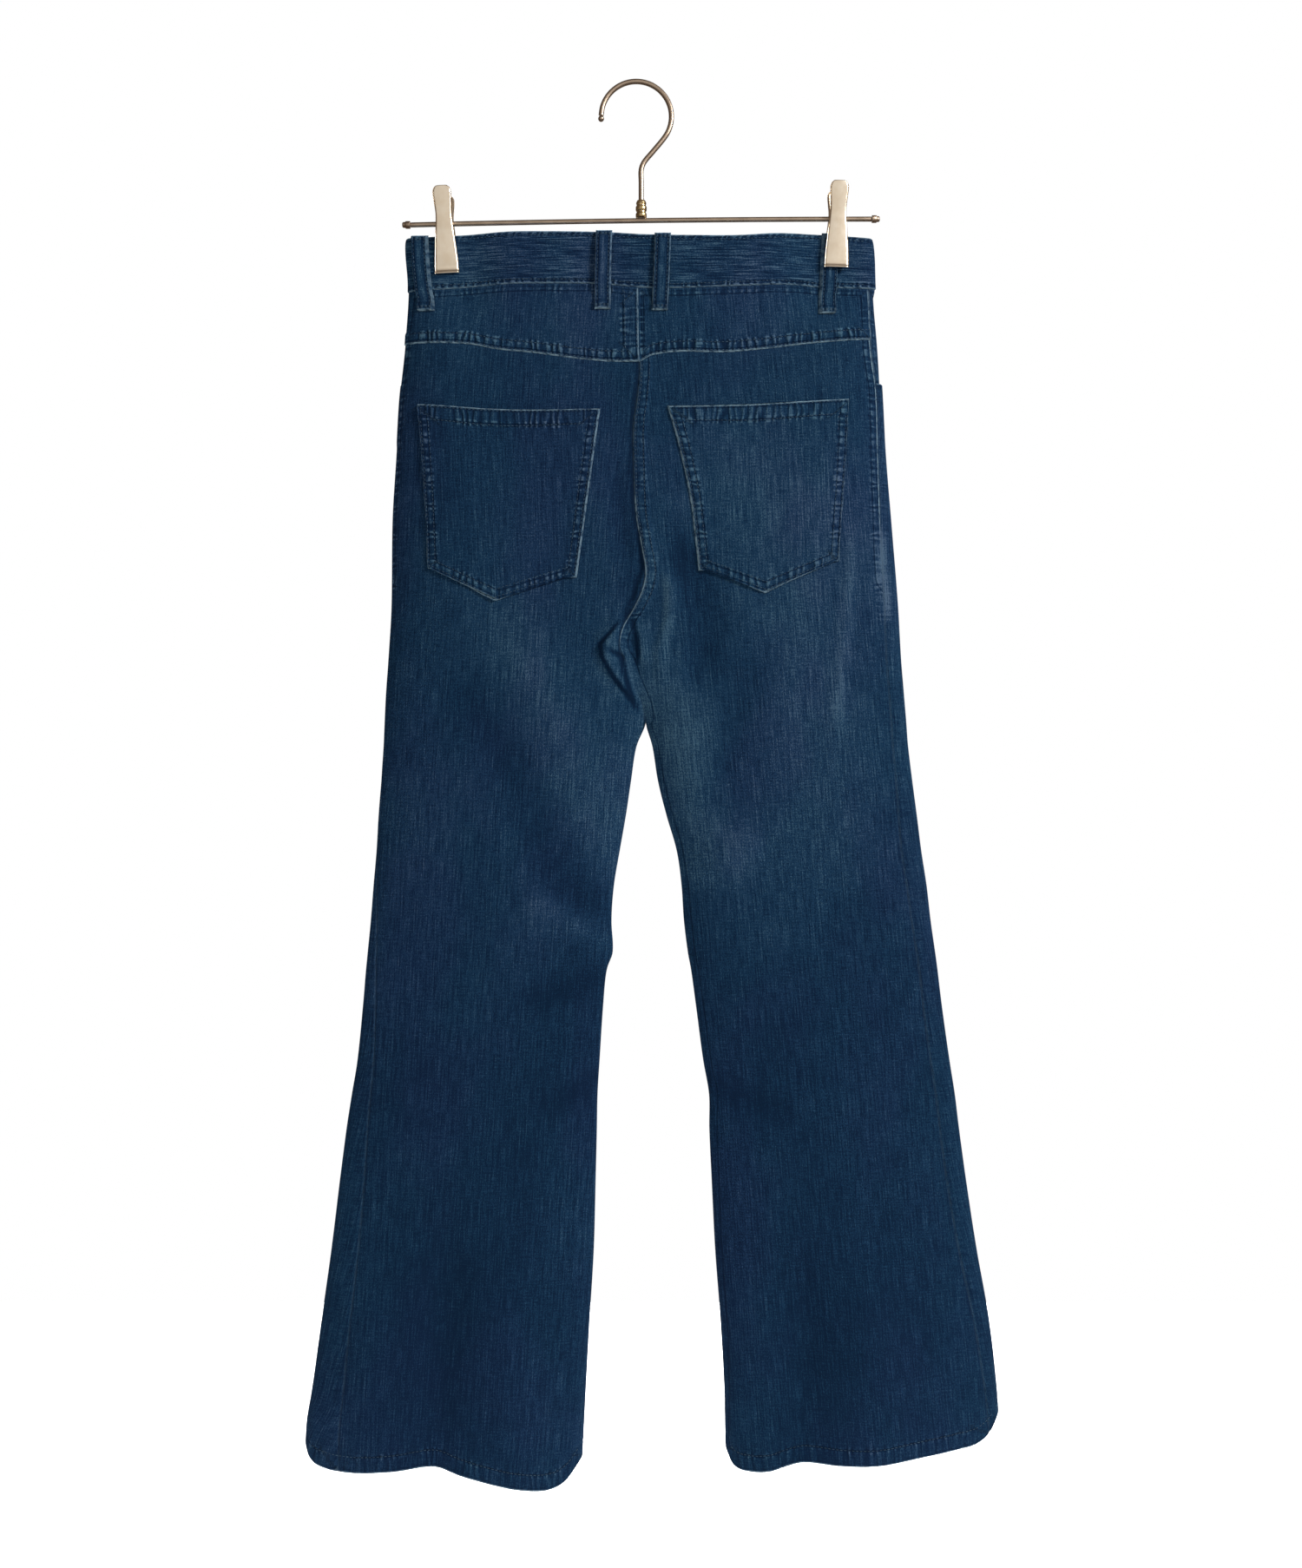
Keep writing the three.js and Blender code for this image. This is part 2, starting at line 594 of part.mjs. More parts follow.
// A strip behind the centre front, below the waistband.
function flyStrip(halfWidth, bottomZ, outside, thickness) {
  const rows = 6;
  const columns = 4;
  const skin = (inset) => grid(rows + 1, columns + 1, (r, c) => {
    const x = (z) => centreFrontX(z) + (c / columns - 0.5) * 2 * halfWidth;
    const topZ = bandBottomZ(CENTRE_FRONT_TOP_X, 1) - 1.2;
    const z = mix(bottomZ, topZ, r / rows);
    return placedPoint(1, x(z), z, inset);
  });
  return closedWall(skin(outside), skin(outside + thickness));
}

function button() {
  const profile = [
    [0, 0], [3.2, 0], [3.2, 1.0], [7.6, 1.3], [8.5, 1.9], [8.3, 2.6], [7.2, 3.0], [6.2, 2.6], [0, 2.5],
  ].map(([radius, height]) => new THREE.Vector2(radius, height));
  return new THREE.LatheGeometry(profile, 20);
}

// Hanger

function barZ(x) {
  const run = x - BAR_CENTRE.x;
  return BAR_CENTRE.z + BAR_TILT * run - BAR_BOW * run * run;
}

function roundSection(radius, corners) {
  const shape = new THREE.Shape();
  for (let i = 0; i < corners; i += 1) {
    const angle = (i / corners) * 2 * Math.PI;
    const spot = [radius * Math.cos(angle), radius * Math.sin(angle)];
    if (i === 0) shape.moveTo(...spot);
    else shape.lineTo(...spot);
  }
  shape.closePath();
  return shape;
}

function rod(points, radius, corners, steps) {
  const path = new THREE.CatmullRomCurve3(points, false, 'centripetal');
  const section = roundSection(radius, corners);
  return new THREE.ExtrudeGeometry(section, { extrudePath: path, steps, bevelEnabled: false });
}

function hangerBar() {
  const points = [];
  for (let i = 0; i <= 12; i += 1) {
    const x = mix(BAR_LEFT_X, BAR_RIGHT_X, i / 12);
    points.push(new THREE.Vector3(x, 0, barZ(x)));
  }
  return rod(points, BAR_RADIUS, 10, 14);
}

function hook() {
  const centreZ = WIRE_RADIUS - HOOK_RADIUS;
  const points = [];
  for (let i = 0; i <= 16; i += 1) {
    const angle = THREE.MathUtils.degToRad(mix(HOOK_TIP_ANGLE, HOOK_FOOT_ANGLE, i / 16));
    points.push(new THREE.Vector3(HOOK_RADIUS * Math.cos(angle), 0, centreZ + HOOK_RADIUS * Math.sin(angle)));
  }
  const foot = points[points.length - 1];
  const stemX = BAR_CENTRE.x;
  points.push(new THREE.Vector3(mix(foot.x, stemX, 0.52), 0, mix(foot.z, STEM_TOP_Z, 0.47)));
  points.push(new THREE.Vector3(mix(foot.x, stemX, 0.88), 0, mix(foot.z, STEM_TOP_Z, 0.8)));
  points.push(new THREE.Vector3(stemX, 0, STEM_TOP_Z - 1));
  points.push(new THREE.Vector3(stemX, 0, STEM_TOP_Z - 12));
  points.push(new THREE.Vector3(stemX, 0, barZ(stemX) + BAR_RADIUS + SEAM_GAP));
  return rod(points, WIRE_RADIUS, 8, 44);
}

function hookBall() {
  return new THREE.SphereGeometry(2.4, 12, 8);
}

// A grooved collar round the stem, standing on the bar.
function ferrule() {
  const low = barZ(BAR_CENTRE.x) + BAR_RADIUS + SEAM_GAP;
  const bore = WIRE_RADIUS + SEAM_GAP;
  const height = FERRULE_TOP_Z - low;
  const profile = [
    [bore, 0], [FERRULE_RADIUS, 0], [FERRULE_RADIUS, 0.22], [3.7, 0.28], [3.7, 0.36], [FERRULE_RADIUS, 0.42],
    [FERRULE_RADIUS, 0.62], [3.7, 0.68], [3.7, 0.76], [4.1, 0.82], [3.2, 1], [bore, 1], [bore, 0],
  ].map(([radius, share]) => new THREE.Vector2(radius, share * height));
  return new THREE.LatheGeometry(profile, 16);
}

function barCap() {
  const profile = [
    [0, 0], [BAR_CAP_RADIUS, 0], [BAR_CAP_RADIUS, 3.6], [2.3, 4.0], [2.3, 5.6],
    [1.6, BAR_CAP_LENGTH], [0, BAR_CAP_LENGTH],
  ].map(([radius, height]) => new THREE.Vector2(radius, height));
  return new THREE.LatheGeometry(profile, 16);
}

// One pressed plate of a clip, in the clip's own frame: the bar runs through its origin.
// Its edges turn in beside the bar, and its foot grips the waistband.
function clipPlate(face, grip) {
  const halfWidths = table(['at', 'x'], [
    [CLIP_BOTTOM_Z, 9.7], [-30, 9.3], [-14, 8.0], [-2, 6.9], [6, 6.4], [14, 6.9],
    [22, 7.4], [25, 6.6], [CLIP_TOP_Z, 4.2],
  ]);
  const offsets = table(['at', 'y'], [
    [CLIP_BOTTOM_Z, grip + 0.9], [-38, grip], [-26, grip + 0.2], [-10, mix(grip, PIVOT_OFFSET, 0.7)],
    [2, PIVOT_OFFSET], [14, PIVOT_OFFSET + 2.2], [CLIP_TOP_Z, PIVOT_OFFSET + 4.6],
  ]);
  const flanges = table(['at', 'depth'], [
    [CLIP_BOTTOM_Z, 0], [-10, 0], [-4, 3.4], [3, 3.6], [9, 3.2], [14, 1.4], [CLIP_TOP_Z, 0.6],
  ]);
  const heights = [CLIP_BOTTOM_Z, -38, -26, -14, -10, -5, 2, 8, 14, 21, 25, CLIP_TOP_Z];
  const spots = [
    [-1, 1], [-1, 0.3], [-0.9, 0], [-0.4, -0.12], [0, -0.16], [0.4, -0.12], [0.9, 0], [1, 0.3], [1, 1],
  ];
  const skin = (deep) => grid(heights.length, spots.length, (r, c) => {
    const z = heights[r];
    const [across, turned] = spots[c];
    const half = along(halfWidths, 'x', z) - (deep ? CLIP_PLATE : 0);
    const offset = along(offsets, 'y', z) + (deep ? 0 : CLIP_PLATE);
    const inward = Math.max(along(flanges, 'depth', z), 0) * Math.max(turned, 0);
    const crown = Math.max(-turned, 0) * 2.4;
    return new THREE.Vector3(across * half, face * (offset + crown - inward), z);
  });
  return closedWall(skin(false), skin(true));
}

// A torsion spring round the bar, as one ribbed sleeve.
function clipSpring() {
  const turns = 4;
  const pitch = 2.1;
  const bore = BAR_RADIUS + SEAM_GAP;
  const profile = [new THREE.Vector2(bore, 0)];
  for (let i = 0; i < turns; i += 1) {
    profile.push(new THREE.Vector2(3.2, i * pitch + 0.1), new THREE.Vector2(3.9, (i + 0.5) * pitch));
  }
  profile.push(new THREE.Vector2(3.2, turns * pitch), new THREE.Vector2(bore, turns * pitch));
  profile.push(new THREE.Vector2(bore, 0));
  const geometry = new THREE.LatheGeometry(profile, 12);
  geometry.translate(0, -turns * pitch / 2, 0);
  return geometry;
}

// Materials

const denim = () => new THREE.MeshStandardMaterial({ color: DENIM, roughness: 0.88, metalness: 0 });
const insideDenim = () => new THREE.MeshStandardMaterial({ color: DENIM_INSIDE, roughness: 0.9, metalness: 0 });
const nickel = () => new THREE.MeshStandardMaterial({ color: 0xd9ceb8, roughness: 0.28, metalness: 1 });
const steel = () => new THREE.MeshStandardMaterial({ color: 0x9b948c, roughness: 0.24, metalness: 1 });
const brass = () => new THREE.MeshStandardMaterial({ color: 0xa98c5c, roughness: 0.4, metalness: 1 });

// Assembly

const object = new THREE.Group();

function add(name, geometry, material, parent = object) {
  const mesh = new THREE.Mesh(geometry, material);
  mesh.name = name;
  parent.add(mesh);
  return mesh;
}

for (const side of Object.values(SIDES)) {
  add(`back_${side.name}`, backPanel(side), denim());
  add(`front_${side.name}`, frontPanel(side), denim());
  add(`yoke_${side.name}`, yoke(side), denim());
  add(`back_pocket_${side.name}`, backPocket(side), denim());
  add(`pocket_facing_${side.name}`, pocketFacing(side), denim());
}
add('waistband', waistband(), denim());
for (const loop of BELT_LOOPS) add(loop.name, beltLoop(loop), denim());

const zipDepth = CLOTH + LAYER_GAP;
add('zip', flyStrip(ZIP_HALF_WIDTH, ZIP_BOTTOM_Z, zipDepth, 1.0), brass());
add('fly_shield', flyStrip(FLY_HALF_WIDTH, FLY_BOTTOM_Z, zipDepth + 1.0 + SEAM_GAP, CLOTH), insideDenim());

const buttonX = CENTRE_FRONT_TOP_X + 11;
const buttonZ = mix(bandBottomZ(buttonX, 1), bandTopZ(buttonX, 1), 0.52);
const buttonSeat = placedPoint(1, buttonX, buttonZ, -BAND_PROUD - BAND_PROUD - BAND_INSIDE - 2 * SEAM_GAP);
add('button', button(), brass()).position.copy(buttonSeat);

add('hanger_bar', hangerBar(), steel());
add('hook', hook(), steel());
const tip = THREE.MathUtils.degToRad(HOOK_TIP_ANGLE);
add('hook_ball', hookBall(), steel()).position.set(
  HOOK_RADIUS * Math.cos(tip), 0, WIRE_RADIUS - HOOK_RADIUS + HOOK_RADIUS * Math.sin(tip) - 2.4 - SEAM_GAP,
);
const collar = add('ferrule', ferrule(), brass());
collar.rotation.x = Math.PI / 2;
collar.position.set(BAR_CENTRE.x, 0, barZ(BAR_CENTRE.x) + BAR_RADIUS + SEAM_GAP);
const leftCap = add('bar_cap_left', barCap(), steel());
leftCap.rotation.z = Math.PI / 2;
leftCap.position.set(BAR_LEFT_X - SEAM_GAP, 0, barZ(BAR_LEFT_X));
const rightCap = add('bar_cap_right', barCap(), steel());
rightCap.rotation.z = -Math.PI / 2;
rightCap.position.set(BAR_RIGHT_X + SEAM_GAP, 0, barZ(BAR_RIGHT_X));

for (const [name, clip] of Object.entries(CLIPS)) {
  const group = new THREE.Group();
  group.position.set(clip.x, 0, barZ(clip.x));
  group.rotation.y = -THREE.MathUtils.degToRad(clip.lean) * Math.sign(-clip.x);
  object.add(group);
  add(`clip_${name}_front`, clipPlate(-1, clip.frontGrip), nickel(), group);
  add(`clip_${name}_back`, clipPlate(1, clip.backGrip), nickel(), group);
  add(`clip_${name}_spring`, clipSpring(), steel(), group).rotation.z = Math.PI / 2;
}

export default object;
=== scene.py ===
# %% [markdown]
# Flared jeans hang by the waist from a hanger with two clips, and we look at their back.
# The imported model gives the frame: every piece made here lies where its plain solid lies,
# in metres, and takes that solid's place in the picture.

# %% Load the frame
import math

import bpy
import numpy as np
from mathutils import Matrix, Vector


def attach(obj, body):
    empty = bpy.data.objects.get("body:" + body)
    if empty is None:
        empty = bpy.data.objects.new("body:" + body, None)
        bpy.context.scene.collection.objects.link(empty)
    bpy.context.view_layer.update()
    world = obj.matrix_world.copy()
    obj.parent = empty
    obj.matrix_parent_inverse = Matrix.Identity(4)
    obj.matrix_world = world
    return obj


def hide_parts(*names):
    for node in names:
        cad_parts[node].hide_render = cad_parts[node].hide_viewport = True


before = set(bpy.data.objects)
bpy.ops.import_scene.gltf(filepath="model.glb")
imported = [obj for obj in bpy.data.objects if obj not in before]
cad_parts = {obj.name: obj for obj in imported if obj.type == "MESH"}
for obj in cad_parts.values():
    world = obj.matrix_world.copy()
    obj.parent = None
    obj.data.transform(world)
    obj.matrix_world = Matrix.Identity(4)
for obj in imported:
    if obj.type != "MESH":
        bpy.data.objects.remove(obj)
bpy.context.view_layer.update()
MM = 0.001

# %% [markdown]
# The camera stands square to the garment's back at arm's length, as a shop's photographer does.
# The lens follows from how tall a strip of the garment's own plane the picture has to show.

# %% Camera
CAMERA_PLACE = Vector((0.0119, -1.25, -0.56427))
VIEW_HEIGHT = 1.2642


def add_object(name, data):
    thing = bpy.data.objects.new(name, data)
    bpy.context.scene.collection.objects.link(thing)
    return thing


camera_data = bpy.data.cameras.new("camera")
camera_data.sensor_width = 36
camera_data.lens = camera_data.sensor_width * abs(CAMERA_PLACE.y) / VIEW_HEIGHT
camera = add_object("camera", camera_data)
camera.location = CAMERA_PLACE
camera.rotation_euler = (math.radians(90), 0, 0)
bpy.context.scene.camera = camera
bpy.context.scene.view_settings.view_transform = "Standard"
print("lens", round(camera_data.lens, 2), "mm")

# %% [markdown]
# Adding nodes one by one fills a script with words. This small helper adds a node, sets it and
# joins its sockets in one call, so that each finish below reads as a recipe.

# %% A helper for node trees
class Wiring:
    """Adds and joins the nodes of one tree."""

    def __init__(self, tree):
        self.tree = tree
        tree.nodes.clear()

    def feed(self, value, socket):
        if isinstance(value, bpy.types.NodeSocket):
            self.tree.links.new(value, socket)
        else:
            socket.default_value = value

    def add(self, kind, sockets=None, **settings):
        node = self.tree.nodes.new(kind)
        for name, value in settings.items():
            setattr(node, name, value)
        for name, value in (sockets or {}).items():
            self.feed(value, node.inputs[name])
        return node

    def math(self, operation, *values):
        node = self.add("ShaderNodeMath", dict(enumerate(values)), operation=operation)
        return node.outputs[0]

    def product(self, first, second):
        return self.math("MULTIPLY", first, second)

    def total(self, *values):
        result = values[0]
        for value in values[1:]:
            result = self.math("ADD", result, value)
        return result

    def scaled(self, value, centre, gain):
        return self.product(self.math("SUBTRACT", value, centre), gain)

    def attribute(self, name):
        return self.add("ShaderNodeAttribute", attribute_name=name).outputs["Fac"]

    def step(self, value, low, high, start=0.0, end=1.0):
        sockets = {0: value, 1: low, 2: high, 3: start, 4: end}
        return self.add("ShaderNodeMapRange", sockets, interpolation_type="SMOOTHSTEP").outputs[0]

    def blend(self, share, first, second):
        sockets = {0: share, 6: first, 7: second}
        return self.add("ShaderNodeMix", sockets, data_type="RGBA").outputs[2]

    def noise(self, vector, scale, detail=2.0, roughness=0.5, flat=True):
        spread = self.add("ShaderNodeMapping", {0: vector, 3: scale}).outputs[0]
        sockets = {"Vector": spread, "Scale": 1.0, "Detail": detail, "Roughness": roughness}
        kind = "2D" if flat else "3D"
        return self.add("ShaderNodeTexNoise", sockets, noise_dimensions=kind).outputs[0]

    def object_place(self):
        return self.add("ShaderNodeTexCoord").outputs["Object"]

    def bump(self, height, strength, distance):
        sockets = {"Height": height, "Strength": strength, "Distance": distance}
        return self.add("ShaderNodeBump", sockets).outputs[0]

    def finish(self, sockets):
        shader = self.add("ShaderNodeBsdfPrincipled", sockets)
        self.add("ShaderNodeOutputMaterial", {0: shader.outputs[0]})


def new_material(name):
    material = bpy.data.materials.new(name)
    material.use_nodes = True
    return material, Wiring(material.node_tree)


# %% [markdown]
# A plain pale floor lies well below the hems. The key light is a soft panel up on the right.
# Wide weak panels fill the left and the front, and one washes the floor beyond. Round metal
# mirrors what stands about it, so for mirrored rays the world is bright before and behind the
# garment and a dim brown elsewhere, and of all the lights only the key shows in mirrors: that
# gives every wire its bright middle and brown edges.

# %% Floor, world and lights
FLOOR_Z = -1.3
FLOOR_HALF = 0.95
WORLD_BRIGHT = 0.78
WORLD_DIM = 0.24
WORLD_FILL = 0.3
GARMENT_MIDDLE = (0.0, 0, -0.6)


def make_floor():
    ways = [(-1, -1), (1, -1), (1, 1), (-1, 1)]
    corners = [(east * FLOOR_HALF, north * FLOOR_HALF, FLOOR_Z) for east, north in ways]
    mesh = bpy.data.meshes.new("floor")
    mesh.from_pydata(corners, [], [(0, 1, 2, 3)])
    floor = add_object("floor", mesh)
    material, wiring = new_material("pale floor")
    place = wiring.object_place()
    cloud = wiring.noise(place, (2.0, 2.0, 2.0), flat=False)
    tone = wiring.blend(cloud, (0.86, 0.86, 0.86, 1), (0.9, 0.9, 0.9, 1))
    wiring.finish({"Base Color": tone, "Roughness": 0.9})
    mesh.materials.append(material)
    return floor


def make_world():
    world = bpy.data.worlds.new("studio")
    world.use_nodes = True
    bpy.context.scene.world = world
    wiring = Wiring(world.node_tree)
    toward = wiring.add("ShaderNodeTexCoord").outputs["Generated"]
    depth = wiring.add("ShaderNodeSeparateXYZ", {0: toward}).outputs["Y"]
    before = wiring.step(wiring.product(depth, -1.0), 0.6, 0.97)
    behind = wiring.step(depth, 0.7, 0.95, 0.0, 0.8)
    bright = wiring.math("MAXIMUM", before, behind)
    mirrored = wiring.blend(bright, (0.5, 0.38, 0.3, 1), (1.0, 0.97, 0.92, 1))
    ray = wiring.add("ShaderNodeLightPath").outputs
    glossy = ray["Is Glossy Ray"]
    colour = wiring.blend(glossy, (1.0, 0.99, 0.97, 1), mirrored)
    gloss = wiring.add("ShaderNodeMapRange", {0: bright, 3: WORLD_DIM, 4: WORLD_BRIGHT}).outputs[0]
    strength = wiring.add("ShaderNodeMapRange", {0: glossy, 3: WORLD_FILL, 4: gloss}).outputs[0]
    room = wiring.add("ShaderNodeBackground", {"Color": colour, "Strength": strength}).outputs[0]
    backdrop = wiring.add("ShaderNodeBackground", {"Color": (1, 1, 1, 1), "Strength": 1.0}).outputs[0]
    mixed = wiring.add("ShaderNodeMixShader", {0: ray["Is Camera Ray"], 1: room, 2: backdrop})
    wiring.add("ShaderNodeOutputWorld", {0: mixed.outputs[0]})


def make_light(name, place, aim, size, power):
    data = bpy.data.lights.new(name, "AREA")
    data.shape = "SQUARE"
    data.size = size
    data.energy = power
    light = add_object(name, data)
    light.location = place
    light.rotation_euler = (Vector(aim) - Vector(place)).to_track_quat("-Z", "Y").to_euler()
    return light


floor = make_floor()
make_world()
lights = [
    make_light("key", (1.9, -1.35, 0.75), GARMENT_MIDDLE, 0.6, 74),
    make_light("soft_fill", (-1.5, -2.2, 0.1), GARMENT_MIDDLE, 1.6, 14),
    make_light("front_fill", (-1.7, 1.9, 0.5), GARMENT_MIDDLE, 1.1, 12),
    make_light("floor_wash", (0.2, 0.9, 0.9), (0.0, 0.5, FLOOR_Z), 1.6, 190),
]
for hidden in (floor, *lights[1:]):
    hidden.visible_glossy = False
print("lights:", [light.name for light in lights])

# %% [markdown]
# The garment hangs flat, so its shape is an outline with a little depth. These tables repeat the
# maker's measures at heights below the hook's crown: outer folds and inseams, the centre back
# seam, how deep the two layers stand apart, and where the seams run.

# %% Measures of the garment
def table(columns, rows):
    """Named columns of a table written in millimetres, as arrays in metres."""
    values = np.array(rows, dtype=float) * MM
    order = np.argsort(values[:, 0])
    return {name: values[order, index] for index, name in enumerate(columns)}


CLOTH = 1.4 * MM
CROTCH_Z = -515 * MM
CROTCH_X = 7.7 * MM
CROTCH_RISE = 95 * MM
FRONT_DROP = 16 * MM
CENTRE_FRONT_TOP_X = 2 * MM
WAIST_Z = -118 * MM
HALF_WAIST = 187 * MM

OUTLINE = table(["at", "left_outer", "left_inner", "right_inner", "right_outer"], [
    [-118, -182.0, 7.7, 7.7, 187.0],
    [-130, -185.6, 7.7, 7.7, 190.6],
    [-165, -183.6, 7.7, 7.7, 192.4],
    [-212, -186.2, 7.7, 7.7, 196.4],
    [-255, -190.6, 7.7, 7.7, 198.8],
    [-300, -193.0, 7.7, 7.7, 201.0],
    [-352, -196.0, 7.7, 7.7, 205.1],
    [-422, -196.9, 7.7, 7.7, 210.7],
    [-464, -199.5, 7.7, 7.7, 213.2],
    [-492, -201.6, 7.7, 7.7, 215.6],
    [-515, -202.8, 7.7, 7.7, 217.6],
    [-534, -203.7, 0.2, 13.0, 219.1],
    [-562, -205.8, -4.2, 17.5, 222.6],
    [-590, -207.9, -8.4, 24.5, 226.4],
    [-618, -209.6, -13.3, 32.6, 230.0],
    [-646, -212.1, -18.0, 36.5, 234.4],
    [-674, -214.4, -20.0, 38.4, 237.7],
    [-700, -217.0, -19.0, 41.6, 241.5],
    [-714, -218.4, -23.8, 44.2, 243.4],
    [-744, -221.0, -26.8, 48.3, 247.1],
    [-787, -225.4, -29.6, 54.0, 253.2],
    [-815, -230.0, -31.3, 58.8, 257.6],
    [-842, -234.2, -31.8, 59.0, 260.9],
    [-884, -239.6, -32.8, 60.9, 266.6],
    [-940, -246.4, -34.3, 63.7, 275.1],
    [-996, -254.1, -37.6, 67.9, 284.9],
    [-1052, -261.8, -40.6, 71.0, 291.2],
    [-1080, -266.2, -42.0, 71.5, 292.6],
    [-1130, -268.0, -44.5, 73.5, 293.0],
])

CENTRE_BACK = table(["at", "x"], [
    [-118, 1.5], [-165, 1.6], [-215, 2.2], [-233, 2.8], [-256, 0.9], [-280, -2.2], [-313, -1.9],
    [-350, -0.2], [-376, 4.3], [-396, 7.4], [-410, 5.0], [-425, -1.9], [-436, -8.6], [-447, -12.4],
    [-457, -12.6], [-466, -8.2], [-479, -4.2], [-490, 0.2], [-500, 4.6], [-515, 7.7],
])

DEPTH = table(["at", "half", "sway"], [
    [-118, 8.0, 0.0], [-165, 9.0, 0.0], [-230, 13.0, -1.0], [-300, 17.0, -2.4],
    [-400, 20.0, -3.2], [-500, 20.0, -1.6], [-600, 17.5, 0.6], [-700, 15.0, 2.4],
    [-800, 14.5, 3.4], [-900, 16.5, 3.2], [-1000, 19.5, 2.0], [-1130, 23.5, 0.4],
])

# How far the side folds' rounding reaches, as a share of each half's width times a thousand.
ROUNDING = table(["at", "share"], [
    [-118, 180], [-165, 180], [-230, 240], [-300, 320], [-400, 420], [-500, 500], [-1130, 500],
])

SIDE_SEAM = table(["at", "left", "right"], [
    [-118, 0.0, 5.4], [-172, 0.0, 6.0], [-214, 0.0, 8.6], [-250, 0.0, 6.0], [-298, 0.0, 7.2],
    [-400, 0.0, 12.0], [-552, 0.0, 14.0], [-618, 1.4, 17.4], [-703, 7.8, 16.0], [-787, 14.0, 16.2],
    [-895, 21.4, 16.6], [-1006, 25.4, 13.2], [-1095, 29.6, 9.0], [-1130, 31.0, 8.0],
])

BAND_TOP = table(["at", "z"], [
    [-190, -125.0], [-162, -123.7], [-112, -121.6], [-58, -121.4], [-20, -122.3],
    [5, -123.7], [47, -124.4], [82, -124.4], [122, -122.3], [151, -122.3], [192, -124.8],
])

BAND_BOTTOM = table(["at", "z"], [
    [-190, -169.0], [-144, -166.0], [-107, -164.0], [-33, -164.0], [2, -167.0],
    [29, -167.4], [90, -165.3], [129, -164.0], [146, -165.3], [196, -166.2],
])

YOKE_SEAM = {
    "left": table(["at", "z"], [
        [-190, -211.4], [-135, -213.2], [-110, -217.6], [-84, -220.2], [-44, -225.4],
        [-22, -227.4], [3, -227.6], [10, -227.6],
    ]),
    "right": table(["at", "z"], [
        [-4, -227.6], [3, -227.6], [8, -224.8], [14, -222.0], [35, -219.4], [69, -219.9],
        [97, -217.8], [141, -212.7], [198, -207.6],
    ]),
}

HEM = {
    "left": table(["at", "z"], [
        [-268, -1092.0], [-263, -1105.0], [-250, -1110.8], [-229, -1112.2], [-194, -1110.1],
        [-160, -1106.9], [-139, -1112.9], [-111, -1120.5], [-90, -1125.4], [-70, -1127.3],
        [-56, -1121.9], [-43, -1106.0],
    ]),
    "right": table(["at", "z"], [
        [72, -1100.0], [78, -1111.0], [92, -1113.6], [106, -1112.2], [120, -1107.4], [134, -1104.4],
        [162, -1105.3], [189, -1104.6], [224, -1099.7], [258, -1094.2], [274, -1091.0],
        [286, -1082.0], [293, -1070.0],
    ]),
}
SIDES = {"left": -1, "right": 1}
print("tables:", len(OUTLINE["at"]), "heights from the waist to the hems")


# %% [markdown]
# A curve through a table's rows gives the measure at any height. It is a Hermite curve whose
# slope at each row comes from its two neighbours, so it passes through every measure smoothly.

# %% Curves through the tables
def along(rows, column, at):
    keys, values = rows["at"], rows[column]
    at = np.clip(at, keys[0], keys[-1])
    row = np.clip(np.searchsorted(keys, at, side="right") - 1, 0, len(keys) - 2)
    wide_keys = np.concatenate((keys[:1], keys, keys[-1:]))
    wide_values = np.concatenate((values[:1], values, values[-1:]))
    slopes = (wide_values[2:] - wide_values[:-2]) / (wide_keys[2:] - wide_keys[:-2])
    span = keys[row + 1] - keys[row]
    s = (at - keys[row]) / span
    start, end = values[row], values[row + 1]
    curve = start * (2 * s**3 - 3 * s**2 + 1) + end * (3 * s**2 - 2 * s**3)
    return curve + span * (slopes[row] * (s**3 - 2 * s**2 + s) + slopes[row + 1] * (s**3 - s**2))


def mix(a, b, share):
    return a + (b - a) * share


def smooth(value):
    s = np.clip(value, 0, 1)
    return s * s * (3 - 2 * s)


def round_rise(share):
    """Quarter-round rise from 0 at an edge to 1 where the rounding ends."""
    s = 1 - np.clip(share, 0, 1)
    return 1 - s * s


def ridge(away, width):
    """A soft ridge: 1 on a line and next to nothing two widths away from it."""
    return np.exp(-((away / width) ** 2))


def full_turn(count):
    return np.linspace(0, 2 * np.pi, count, endpoint=False)
